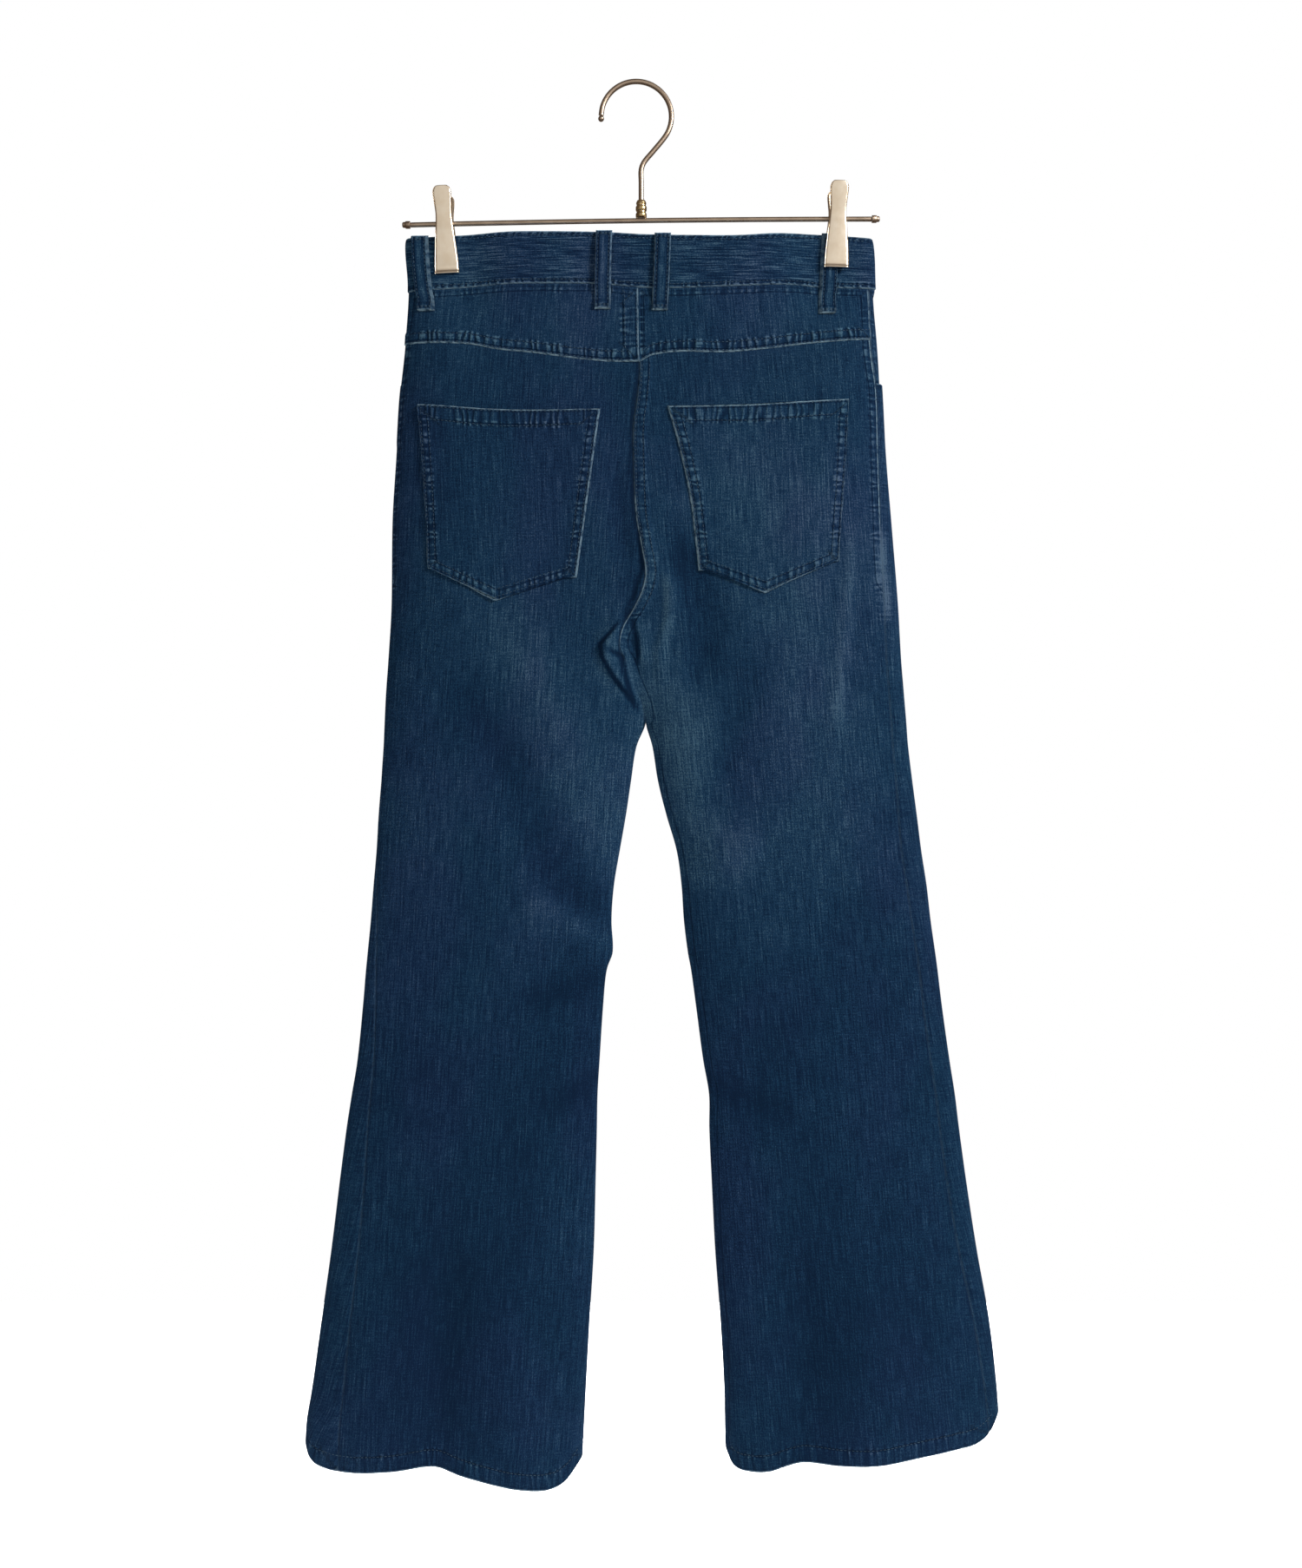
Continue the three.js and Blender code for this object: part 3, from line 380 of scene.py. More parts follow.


# %% [markdown]
# Folds make cloth look like cloth. Each row is one crease on the back (-1) or the front (1):
# a path down the cloth, how far its slope reaches on the west and the east side, and its
# height, below zero for a trough. A steep west side gives a sharp edge that casts a shadow, and
# the steepest also get painted shade in the crease at their foot.

# %% Folds
SOFT_FOLDS = [
    # face, from, to, width, height
    (-1, (-6, -436), (-26, -456), 9, 3.4),
    (-1, (-26, -456), (-6, -492), 9, 3.4),
    (-1, (-10, -430), (4, -500), 6, -3.0),
    (-1, (10, -470), (74, -640), 22, 2.6),
    (-1, (-140, -480), (-30, -690), 19, -2.4),
    (-1, (-96, -440), (-14, -640), 22, 1.8),
    (-1, (96, -450), (58, -600), 20, -2.0),
    (-1, (173, -360), (158, -530), 6, 1.5),
    (-1, (-18, -690), (-88, -660), 13, 2.8),
    (-1, (-22, -716), (-96, -742), 12, -2.6),
    (-1, (-28, -806), (-80, -824), 12, -2.0),
    (-1, (34, -634), (96, -612), 13, 2.4),
    (-1, (56, -806), (124, -832), 13, -2.6),
    (-1, (-152, -930), (-162, -1120), 19, -5.0),
    (-1, (-104, -960), (-98, -1130), 24, 4.0),
    (-1, (-214, -960), (-222, -1120), 22, 3.0),
    (-1, (128, -940), (134, -1115), 20, -5.0),
    (-1, (182, -960), (196, -1115), 26, 3.4),
    (1, (-2, -520), (-92, -600), 20, 2.6),
    (1, (14, -520), (104, -606), 20, 2.6),
    (1, (0, -440), (-110, -410), 16, -2.2),
    (1, (14, -440), (128, -412), 16, -2.2),
    (1, (-30, -706), (-120, -728), 14, 2.6),
    (1, (46, -716), (140, -742), 14, 2.6),
    (1, (-122, -900), (-128, -1125), 24, 4.6),
    (1, (-196, -940), (-206, -1120), 22, -4.0),
    (1, (158, -920), (166, -1115), 26, 4.6),
    (1, (236, -960), (244, -1110), 20, -3.6),
]

SHARP_FOLDS = [
    # face, path, west, east, height
    (-1, [
        (-6, -430), (-19, -446), (-26, -454), (-25, -462), (-18, -475), (-6, -491), (4, -507),
    ], 1.7, 9, 3.8),
    (-1, [(-27, -451), (-18, -456), (-9, -461), (-6, -476), (-1, -492), (7, -510)], 2.2, 8, 3.6),
    (-1, [(-1, -431), (3, -448), (4, -460), (3, -474)], 1.8, 9, 2.4),
    (-1, [(16, -385), (27, -409), (26, -432), (18, -460), (20, -492)], 4, 7, 2.0),
    (-1, [(30, -360), (44, -402), (52, -440), (46, -505)], 9, 20, -3.6),
    (-1, [(5, -350), (8, -392), (1, -416), (-8, -434)], 2.0, 10, 1.8),
    (-1, [(-16, -300), (-12, -360), (-6, -400)], 9, 6, -1.4),
]


# Sharp folds whose west side is narrower than this get painted shade in the crease at their foot.
CREASE_SHADE_WEST = 3


def soft_folds(face, x, z):
    height = np.zeros_like(x)
    for side, start, end, width, tall in SOFT_FOLDS:
        (x0, z0), (x1, z1) = np.array(start) * MM, np.array(end) * MM
        length = math.hypot(x1 - x0, z1 - z0)
        run = ((x - x0) * (x1 - x0) + (z - z0) * (z1 - z0)) / length
        off = ((x - x0) * (z1 - z0) - (z - z0) * (x1 - x0)) / length
        beyond = np.maximum(np.maximum(-run, run - length), 0)
        taper = smooth(np.minimum(run / length, 1 - run / length) * 3 + 0.45)
        bump = tall * MM * taper * np.exp(-(off**2 + beyond**2) / (width * MM) ** 2)
        height = height + np.where(face == side, bump, 0)
    return height


def path_distance(x, z, path):
    """Distance to a path of points, above zero to its east as it goes down, and the run along it."""
    points = np.array(path, dtype=float)
    best = np.full(x.shape, 1e9)
    run = np.zeros_like(x)
    travelled = 0.0
    for (x0, z0), (x1, z1) in zip(points[:-1], points[1:]):
        length = math.hypot(x1 - x0, z1 - z0)
        share = np.clip(((x - x0) * (x1 - x0) + (z - z0) * (z1 - z0)) / length**2, 0, 1)
        away = np.hypot(x - mix(x0, x1, share), z - mix(z0, z1, share))
        east = np.where((x1 - x0) * (z - z0) - (z1 - z0) * (x - x0) >= 0, 1.0, -1.0)
        nearer = away < np.abs(best)
        best = np.where(nearer, away * east, best)
        run = np.where(nearer, travelled + share * length, run)
        travelled += length
    return best, run / travelled


def sharp_folds(face, x, z):
    """Their height, and a mask of painted shade in the crease at their steep foot."""
    height, crease_shade = np.zeros_like(x), np.zeros_like(x)
    for side, path, west, east, tall in SHARP_FOLDS:
        away, run = path_distance(x, z, np.array(path) * MM)
        reach = np.where(away > 0, east, west) * MM
        taper = np.where(face == side, smooth(np.minimum(run, 1 - run) * 4), 0)
        height = height + tall * MM * taper * ridge(away, reach)
        # Where the painted shade in the crease beside the steep side falls.
        foot = ridge(away + 1.5 * west * MM, 0.9 * west * MM)
        crease_shade = crease_shade + max(tall, 0) / 3 * taper * foot * (west < CREASE_SHADE_WEST)
    return height, crease_shade


# %% [markdown]
# Every point of the cloth comes from one rule: how far round the body it is (t), its height and
# how far it stands out from the cloth's face. t runs from -1 at the centre back, through 0 on
# the outer fold, to 1 at the centre front. Seams, pockets and stitches all use it, so they stay
# on the cloth wherever a fold takes it.

# %% The garment's surface
CLIP_X = (-152.2 * MM, 161.0 * MM)
GRIP_DEPTH = 2 * MM
GRIP_HALF_WIDTH = 12 * MM
GRIP_FADE = 46 * MM
GRIP_FOOT_Z = -204 * MM
GRIP_RISE = 54 * MM


def centre_front_x(z):
    return mix(CENTRE_FRONT_TOP_X, CROTCH_X, np.clip((z - WAIST_Z) / (CROTCH_Z - WAIST_Z), 0, 1))


def openness(z):
    return np.clip((z - CROTCH_Z) / CROTCH_RISE, 0, 1)


def inner_x(side, face, z):
    centre = np.where(face < 0, along(CENTRE_BACK, "x", z), centre_front_x(z))
    return np.where(z < CROTCH_Z, along(OUTLINE, side + "_inner", z), centre)


def clip_grip(x, z):
    from_clip = np.minimum(np.abs(x - CLIP_X[0]), np.abs(x - CLIP_X[1]))
    across = 1 - smooth((from_clip - GRIP_HALF_WIDTH) / GRIP_FADE)
    return across * smooth((z - GRIP_FOOT_Z) / GRIP_RISE)


def ripples(face, x, z):
    """Faint unevenness that no single fold explains."""
    slow = np.sin(38 * x + 9 * z + 1.3 * face) * np.sin(17 * z - 6 * x + 0.7)
    quick = np.sin(97 * x - 23 * z + 2.1) * np.sin(41 * z + 13 * x + face)
    return (0.55 * slow + 0.22 * quick) * MM * smooth((GRIP_FOOT_Z - z) / (60 * MM))


def surface(side, t, z, out=0.0, folded=True):
    face = np.where(t < 0, -1.0, 1.0)
    sign = SIDES[side]
    share = (1 + np.cos(np.pi * np.abs(t))) / 2
    opened = openness(z)
    near_x = inner_x(side, face, z) - sign * out * (1 - opened)
    far_x = along(OUTLINE, side + "_outer", z) + sign * out
    x = mix(near_x, far_x, share)
    rounding = along(ROUNDING, "share", z)
    rise = np.sqrt(round_rise((1 - share) / rounding) * mix(round_rise(share / 0.5), 1, opened))
    depth = mix(along(DEPTH, "half", z), GRIP_DEPTH, clip_grip(x, z))
    folds = soft_folds(face, x, z) + sharp_folds(face, x, z)[0] + ripples(face, x, z) if folded else 0
    y = along(DEPTH, "sway", z) + face * rise * (depth + out + folds)
    return np.stack((x, y, z + 0 * x), axis=-1)


def t_from_share(share, face):
    return face * np.arccos(np.clip(2 * share - 1, -1, 1)) / np.pi


def placed(face, x, z, out=0.0):
    """The surface's point found from a place on the back or the front."""
    points = np.zeros(np.broadcast(x, z).shape + (3,))
    x, z = np.broadcast_arrays(x, z)
    for side, sign in SIDES.items():
        near = inner_x(side, face, z)
        share = (x - near) / (along(OUTLINE, side + "_outer", z) - near)
        mine = (x - inner_x("left", face, z)) * sign >= 0
        found = surface(side, t_from_share(np.clip(share, 0, 1), face), z, out)
        points = np.where(mine[..., None], found, points)
    return points


def side_seam_t(side, z):
    width = np.abs(along(OUTLINE, side + "_outer", z) - inner_x(side, -1, z))
    return t_from_share(1 - along(SIDE_SEAM, side, z) / width, -1)


def front_drop(x):
    share = np.clip(np.abs(x - CENTRE_FRONT_TOP_X) / HALF_WAIST, 0, 1)
    return FRONT_DROP * np.cos(share * np.pi / 2) ** 2


def band_bottom(x, face):
    return along(BAND_BOTTOM, "z", x) - np.where(face > 0, front_drop(x), 0)


def band_top(x, face):
    return along(BAND_TOP, "z", x) - np.where(face > 0, front_drop(x), 0)


middles = surface("left", np.array([-0.5, 0.5]), np.array([-0.6, -0.6]))
print("thigh from", round(float(middles[0, 1]), 4), "to", round(float(middles[1, 1]), 4), "m deep")

# %% [markdown]
# A cloth piece is a grid of points with a second skin one cloth's thickness inside it and a rim
# that closes the two. The shell carries what the finish needs: a UV map in metres whose second
# axis is the warp, and values at each point for its distance to a seam, its wear and its painted
# shade.

# %% Shells of cloth
def run_along(points, axis):
    """Distance travelled over a grid of points along one axis."""
    steps = np.linalg.norm(np.diff(points, axis=axis), axis=-1)
    pad = [(0, 0), (0, 0)]
    pad[axis] = (1, 0)
    return np.cumsum(np.pad(steps, pad), axis=axis)


def shell_faces(rows, columns):
    skin = np.arange(rows * columns).reshape(rows, columns)
    inside = skin + rows * columns

    def quads(a, b, c, d):
        return np.stack((a.ravel(), b.ravel(), c.ravel(), d.ravel()), axis=1)

    outer_faces = quads(skin[:-1, :-1], skin[:-1, 1:], skin[1:, 1:], skin[1:, :-1])
    inner_faces = quads(inside[:-1, :-1], inside[1:, :-1], inside[1:, 1:], inside[:-1, 1:])
    rims = np.concatenate((
        quads(skin[:-1, 0], skin[1:, 0], inside[1:, 0], inside[:-1, 0]),
        quads(skin[1:, -1], skin[:-1, -1], inside[:-1, -1], inside[1:, -1]),
        quads(skin[0, 1:], skin[0, :-1], inside[0, :-1], inside[0, 1:]),
        quads(skin[-1, :-1], skin[-1, 1:], inside[-1, 1:], inside[-1, :-1]),
    ))
    return outer_faces, inner_faces, rims


def cloth_shell(name, outer, inner, uv, marks, finishes):
    rows, columns = outer.shape[:2]
    points = np.concatenate((outer.reshape(-1, 3), inner.reshape(-1, 3)))
    outer_faces, inner_faces, rims = shell_faces(rows, columns)
    faces = np.concatenate((outer_faces, inner_faces, rims))
    a, b, c, d = (points[faces[:, corner]] for corner in range(4))
    volume = (a * (np.cross(b, c) + np.cross(c, d))).sum()
    if volume < 0:
        faces = faces[:, ::-1]
    mesh = bpy.data.meshes.new(name)
    mesh.from_pydata(points.tolist(), [], faces.tolist())
    mesh.polygons.foreach_set("use_smooth", np.ones(len(faces), dtype=bool))
    slots = np.zeros(len(faces), dtype=np.int32)
    slots[len(outer_faces):len(outer_faces) + len(inner_faces)] = 1
    mesh.polygons.foreach_set("material_index", slots)
    for finish in finishes:
        mesh.materials.append(finish)
    both = np.concatenate((uv.reshape(-1, 2), uv.reshape(-1, 2)))
    corners = np.empty(len(mesh.loops), dtype=np.int32)
    mesh.loops.foreach_get("vertex_index", corners)
    layer = mesh.uv_layers.new(name="cloth")
    layer.data.foreach_set("uv", both[corners].ravel().astype(np.float32))
    for mark, values in marks.items():
        flat = np.broadcast_to(values, (rows, columns)).ravel()
        attribute = mesh.attributes.new(mark, "FLOAT", "POINT")
        attribute.data.foreach_set("value", np.concatenate((flat, flat)).astype(np.float32))
    mesh.set_sharp_from_angle(angle=math.radians(62))
    mesh.update()
    return add_object(name, mesh)


# %% [markdown]
# Denim ages at its seams. Beside each seam the shells record how far away the edge is, where
# along it we are, how worn it is, how much the cloth puckers and where the inner row of
# stitches runs. A seam with no row has one set far off. Broad pale and dark places are listed in
# a table, most as the wearer left them and two as painted shade. Fold heights make crests paler
# and troughs darker, partly as wear and partly as painted light and shade, and painted shade
# darkens the crease at the foot of the steepest folds.

# %% Seams, worn and faded places, and painted shade
NO_ROW = 0.05


def seam(away, run, worn, row, pucker=1.0, stitched=1.0):
    zone = smooth(away / (1.2 * MM)) * (1 - smooth((away - row) / (0.4 * row)))
    off_row = away - row + (1 - stitched) * NO_ROW
    return {"edge": away, "run": run, "worn": worn, "pucker": pucker * zone, "stitch": off_row}


def seam_marks(*seams):
    """At each point, what the nearest seam does to the cloth."""
    away = np.stack([one["edge"] for one in seams])
    nearest = np.argmin(away, axis=0)[None]
    marks = {}
    for mark in ("edge", "run", "worn", "pucker", "stitch"):
        layers = np.stack([np.broadcast_to(one[mark], away[0].shape) for one in seams])
        marks[mark] = np.take_along_axis(layers, nearest, axis=0)[0]
    return marks


FADE_AND_SHADE_SPOTS = [
    # face, x, z, reach across, reach down, amount
    (-1, -100, -450, 75, 90, 0.08),
    (-1, 110, -440, 80, 110, 0.22),
    (-1, 100, -330, 60, 60, 0.18),
    (-1, -110, -570, 70, 90, 0.06),
    (-1, 60, -560, 40, 100, 0.12),
    (-1, 150, -590, 50, 110, 0.12),
    (-1, -10, -545, 28, 40, 0.16),
    (-1, -130, -590, 34, 120, -0.08),
    (-1, -110, -790, 130, 110, -0.2),
    (-1, 140, -790, 130, 120, -0.2),
    (-1, -140, -1020, 130, 140, -0.34),
    (-1, 170, -1020, 130, 140, -0.32),
    (-1, -110, -300, 70, 60, -0.06),
    (-1, 196, -385, 3.5, 24, 0.95),
    (-1, 200, -418, 3.0, 16, 0.75),
    (-1, 170, -405, 2.6, 38, 0.22),
    (-1, 162, -475, 2.6, 36, 0.2),
    (-1, 24, -428, 3, 30, 0.3),
    # The next two rows are painted shade: a shadow strip between a fold's ridge and the right pocket, and
    # shade beside the centre back seam.
    (-1, 36, -385, 7, 30, -0.24),
    (-1, -4, -375, 5, 45, -0.2),
    (1, -95, -520, 80, 130, 0.26),
    (1, 115, -520, 80, 130, 0.26),
    (1, -125, -760, 70, 90, 0.1),
    (1, 145, -760, 70, 90, 0.1),
    (1, -140, -1020, 110, 120, -0.14),
    (1, 180, -1020, 110, 120, -0.14),
]


LOW_FOLDS_Z = -800 * MM


def fade_and_shade(face, x, z):
    amount = np.zeros_like(x)
    for side, x0, z0, across, down, gain in FADE_AND_SHADE_SPOTS:
        spot = gain * ridge(x - x0 * MM, across * MM) * ridge(z - z0 * MM, down * MM)
        amount = amount + np.where(face == side, spot, 0)
    height, crease_shade = sharp_folds(face, x, z)
    # Fold heights paint crests paler and troughs darker, partly as wear on the crests and partly as painted
    # light and shade; less so low on the legs.
    folds = soft_folds(face, x, z) + 1.2 * height
    seen = 1 - 0.8 * smooth((LOW_FOLDS_Z - z) / (120 * MM))
    # The last term paints shade into the creases at the foot of the steepest sharp folds.
    return amount + seen * np.clip(folds / (9 * MM), -0.3, 0.22) - 0.9 * np.clip(crease_shade, 0, 1)


# %% [markdown]
# Indigo denim is dyed on the warp only, and its uneven yarns show as pale upright slubs crossed
# by faint weft lines. The finish stacks stretched noises on the cloth's own UV map, so the
# streaks follow each piece's grain. Worn edges turn pale, puckers between stitch rows turn pale
# and dark by turns, some places are a little redder, and a fine diagonal wave raises the twill.

# %% Denim
PUCKERS = 1050
EDGE_GROOVE = 2.4 * MM
ROW_CREST = 1.7 * MM
RED_CAST = (1.3, 0.95, 1.04, 1)
MARKS = ("fade_and_shade", "edge", "run", "worn", "pucker", "stitch")


def denim_finish(name, deep, mid, pale, worn_colour, slub=1.0):
    material, wiring = new_material(name)
    cloth = wiring.add("ShaderNodeUVMap", uv_map="cloth").outputs[0]
    place = wiring.object_place()
    streak = wiring.noise(cloth, (640, 7, 1), 2.0, 0.6)
    yarn = wiring.noise(cloth, (1000, 44, 1), 2.0, 0.65)
    weft = wiring.noise(cloth, (90, 1000, 1), 1.0, 0.6)
    grain = wiring.noise(cloth, (1000, 760, 1), 2.0, 0.7)
    cloud = wiring.noise(place, (13, 13, 9), 4.0, 0.6, flat=False)
    cast = wiring.noise(place, (9, 9, 5), 3.0, 0.6, flat=False)
    wear_and_shade_tone, edge, run, worn, pucker, stitch = (wiring.attribute(mark) for mark in MARKS)

    seam_place = wiring.add("ShaderNodeCombineXYZ", {0: run, 1: edge}).outputs[0]
    drift = wiring.scaled(wiring.noise(seam_place, (80, 30, 1), 2.0, 0.6), 0.5, 14.0)
    gathers = wiring.math("SINE", wiring.total(wiring.product(run, PUCKERS), drift))
    strength = wiring.scaled(wiring.noise(seam_place, (75, 20, 1), 2.0), 0.24, 2.9)
    ticks = wiring.product(wiring.product(gathers, strength), pucker)
    broken = wiring.step(wiring.noise(seam_place, (190, 500, 1), 3.0, 0.7), 0.34, 0.6, 0.12, 1.0)
    rubbed = wiring.product(wiring.step(edge, 0.7 * MM, 1.5 * MM, 1.0, 0.0), worn)
    rubbed = wiring.product(rubbed, broken)
    off_row = wiring.math("ABSOLUTE", stitch)
    inner_groove = wiring.step(off_row, 0.1 * MM, 1.0 * MM, 1.0, 0.0)
    off_edge = wiring.math("ABSOLUTE", wiring.math("SUBTRACT", edge, EDGE_GROOVE))
    edge_groove = wiring.product(wiring.step(off_edge, 0.2 * MM, 1.1 * MM, 1.0, 0.0), pucker)
    groove = wiring.math("MAXIMUM", inner_groove, edge_groove)
    off_crest = wiring.math("ABSOLUTE", wiring.math("SUBTRACT", off_row, ROW_CREST))
    beside_row = wiring.step(off_crest, 0.2 * MM, 1.5 * MM, 1.0, 0.0)
    crests = wiring.product(beside_row, wiring.math("MAXIMUM", wiring.product(ticks, 0.5), 0.0))

    slubs = wiring.total(
        wiring.scaled(streak, 0.5, 0.5 * slub),
        wiring.scaled(yarn, 0.5, 1.3 * slub),
        wiring.scaled(weft, 0.5, 0.55),
        wiring.scaled(grain, 0.5, 1.5),
        wiring.scaled(cloud, 0.5, 0.5),
    )
    tone = wiring.total(
        slubs, wear_and_shade_tone, wiring.product(ticks, 0.42), wiring.product(groove, -0.4),
        wiring.product(crests, 1.7), 0.4,
    )
    low = wiring.blend(wiring.step(tone, -0.1, 0.55), deep, mid)
    body = wiring.blend(wiring.step(tone, 0.45, 1.35), low, pale)
    redder = {0: 1.0, 6: body, 7: RED_CAST}
    redder = wiring.add("ShaderNodeMix", redder, data_type="RGBA", blend_type="MULTIPLY").outputs[2]
    tinted = wiring.blend(wiring.step(cast, 0.4, 0.66), body, redder)
    colour = wiring.blend(rubbed, tinted, worn_colour)

    twill = wiring.add("ShaderNodeMapping", {0: cloth, 2: (0, 0, 0.55), 3: (1, 1, 1)}).outputs[0]
    wave = {"Vector": twill, "Scale": 330.0, "Distortion": 1.2, "Detail": 1.0}
    wave = wiring.add("ShaderNodeTexWave", wave, bands_direction="X").outputs["Fac"]
    height = wiring.total(
        wiring.product(wave, 0.10), wiring.product(slubs, 0.16),
        wiring.product(ticks, 0.9), wiring.product(groove, -1.0),
    )
    wiring.finish({
        "Base Color": colour, "Roughness": 0.9, "Specular IOR Level": 0.05,
        "Sheen Weight": 0.02, "Sheen Roughness": 0.5, "Sheen Tint": (0.4, 0.65, 1.0, 1),
        "Normal": wiring.bump(height, 0.75, 0.6 * MM),
    })
    return material


INDIGO = (
    (0.0017, 0.0098, 0.0275, 1), (0.0052, 0.0238, 0.0550, 1),
    (0.0400, 0.0870, 0.1300, 1), (0.16, 0.24, 0.29, 1),
)
DENIM = denim_finish("indigo denim", *INDIGO)
BAND_DENIM = denim_finish("indigo denim, cut across", *INDIGO, slub=1.9)
DENIM_INSIDE = denim_finish(
    "undyed inner face of the denim", (0.030, 0.052, 0.078, 1), (0.070, 0.105, 0.140, 1),
    (0.150, 0.190, 0.230, 1), (0.24, 0.28, 0.30, 1), slub=0.5,
)
CLOTH_FINISHES = (DENIM, DENIM_INSIDE)
print("finishes:", [material.name for material in bpy.data.materials])

# %% [markdown]
# Every piece made here rides on the root body, and a dressed piece hides the solid it stands
# for.

# %% Handing a piece over
pieces = []


def hand_over(piece, slot, *nodes):
    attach(piece, "root")
    if nodes:
        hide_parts(*nodes)
    pieces.append(piece)


def dress(node, outer, inner, uv, marks, name=None, slot="denim", finishes=CLOTH_FINISHES):
    """Makes a cloth piece for a solid and hides the solid."""
    piece = cloth_shell(name or f"{node}_cloth", outer, inner, uv, marks, finishes)
    hand_over(piece, slot, node)


# %% [markdown]
# The back panels carry the photographed face. Their columns lie close together at the centre
# back, where the crotch folds are sharp, and their rows crowd there too. The right panel laps
# over the left on the seat, so its edge stands proud and catches the light.

# %% Back panels
NEAR_SHARE = 0.2
HEM_HEIGHT = 13 * MM
HEM_CLOTH = 2.4 * MM
LAP = 0.9 * MM
LAP_WIDTH = 9 * MM
HEM_REACH = 120 * MM
YOKE_SEAM_REACH = 110 * MM
SIDE_ROW = 7 * MM
SEAT_LAP_FOOT_Z = -480 * MM
SIDE_STITCH_FOOT_Z = -450 * MM
SIDE_WORN_Z = -370 * MM
CENTRE_WORN_Z = (-325 * MM, -456 * MM)


def stretches(*parts):
    """Levels through (start, end, step) stretches, each given in millimetres."""
    levels = [np.arange(start, end, step) for start, end, step in parts]
    return np.append(np.concatenate(levels), parts[-1][1]) * MM


def laid_out(side, levels, columns_at, bottom, top, bottom_reach, top_reach):
    """Spreads levels between a piece's uneven edges: t, z, x and the runs from its two sides."""
    level = levels[:, None]
    t = columns_at(level)
    x = surface(side, t, level)[..., 0]
    face = np.where(t < 0, -1, 1)
    from_low = np.maximum(0, 1 - (level - levels[0]) / bottom_reach)
    from_high = np.maximum(0, 1 - (levels[-1] - level) / top_reach)
    z = level + (bottom(x, face) - levels[0]) * from_low + (top(x, face) - levels[-1]) * from_high
    t = columns_at(z)
    flat = surface(side, t, z)
    run = run_along(flat, 1)
    return t, z, flat[..., 0], run, run[:, -1:] - run


def edge_line(tables, side):
    return lambda x, face: along(tables[side], "z", x)


def hem_form(from_side, from_hem):
    """Lift beside the side seam and the hem, and how thick the cloth is there."""
    lift = -0.5 * MM * (1 - smooth(from_side / (1.6 * MM)))
    lift = lift - 0.8 * MM * (1 - round_rise(from_hem / (1.2 * MM)))
    lift = lift - 0.3 * MM * ridge(from_hem - HEM_HEIGHT, 0.9 * MM)
    return lift, np.where(from_hem < HEM_HEIGHT, HEM_CLOTH, CLOTH)


def seam_out_columns(side, near, far):
    """Columns from the centre back or inseam out to the side seam."""
    shares = NEAR_SHARE * np.linspace(0, 1, near) ** 1.25
    near_t = np.pad(t_from_share(shares, -1), (0, far))
    spread = np.pad(1 - (1 - np.linspace(0, 1, far + 1)[1:]) ** 1.3, (near, 0))
    is_near = np.arange(near + far) < near
    start = t_from_share(NEAR_SHARE, -1)
    return lambda z: np.where(is_near, near_t, mix(start, side_seam_t(side, z), spread))


GRAIN_TOP_Z = -220 * MM
GRAIN_LINES = {"left": (-95 * MM, 0.06), "right": (105 * MM, -0.085)}


def grain_uv(side, t, z, offset):
    """Warp threads run beside one straight line down each leg, whatever folds the piece has."""
    smooth_form = surface(side, t, z, folded=False)
    across = run_along(smooth_form, 1)
    reach = smooth_form[..., 0] * SIDES[side]
    line_x, slope = GRAIN_LINES[side]
    line_reach = (line_x + slope * (z - GRAIN_TOP_Z)) * SIDES[side]
    u = np.empty_like(across)
    for row in range(len(across)):
        from_centre = slice(None) if reach[row, 0] < reach[row, -1] else slice(None, None, -1)
        outward, run = reach[row, from_centre], across[row, from_centre]
        fold = int(np.argmax(outward)) + 1
        u[row] = across[row] - np.interp(line_reach[row].mean(), outward[:fold], run[:fold])
    return np.stack((u + offset, z + offset), axis=-1)


BACK_LEVELS = stretches(
    (-1112, -1095, 1.2), (-1095, -520, 4.3), (-520, -424, 0.95), (-424, -232, 3.1), (-232, -220, 1.3),
)


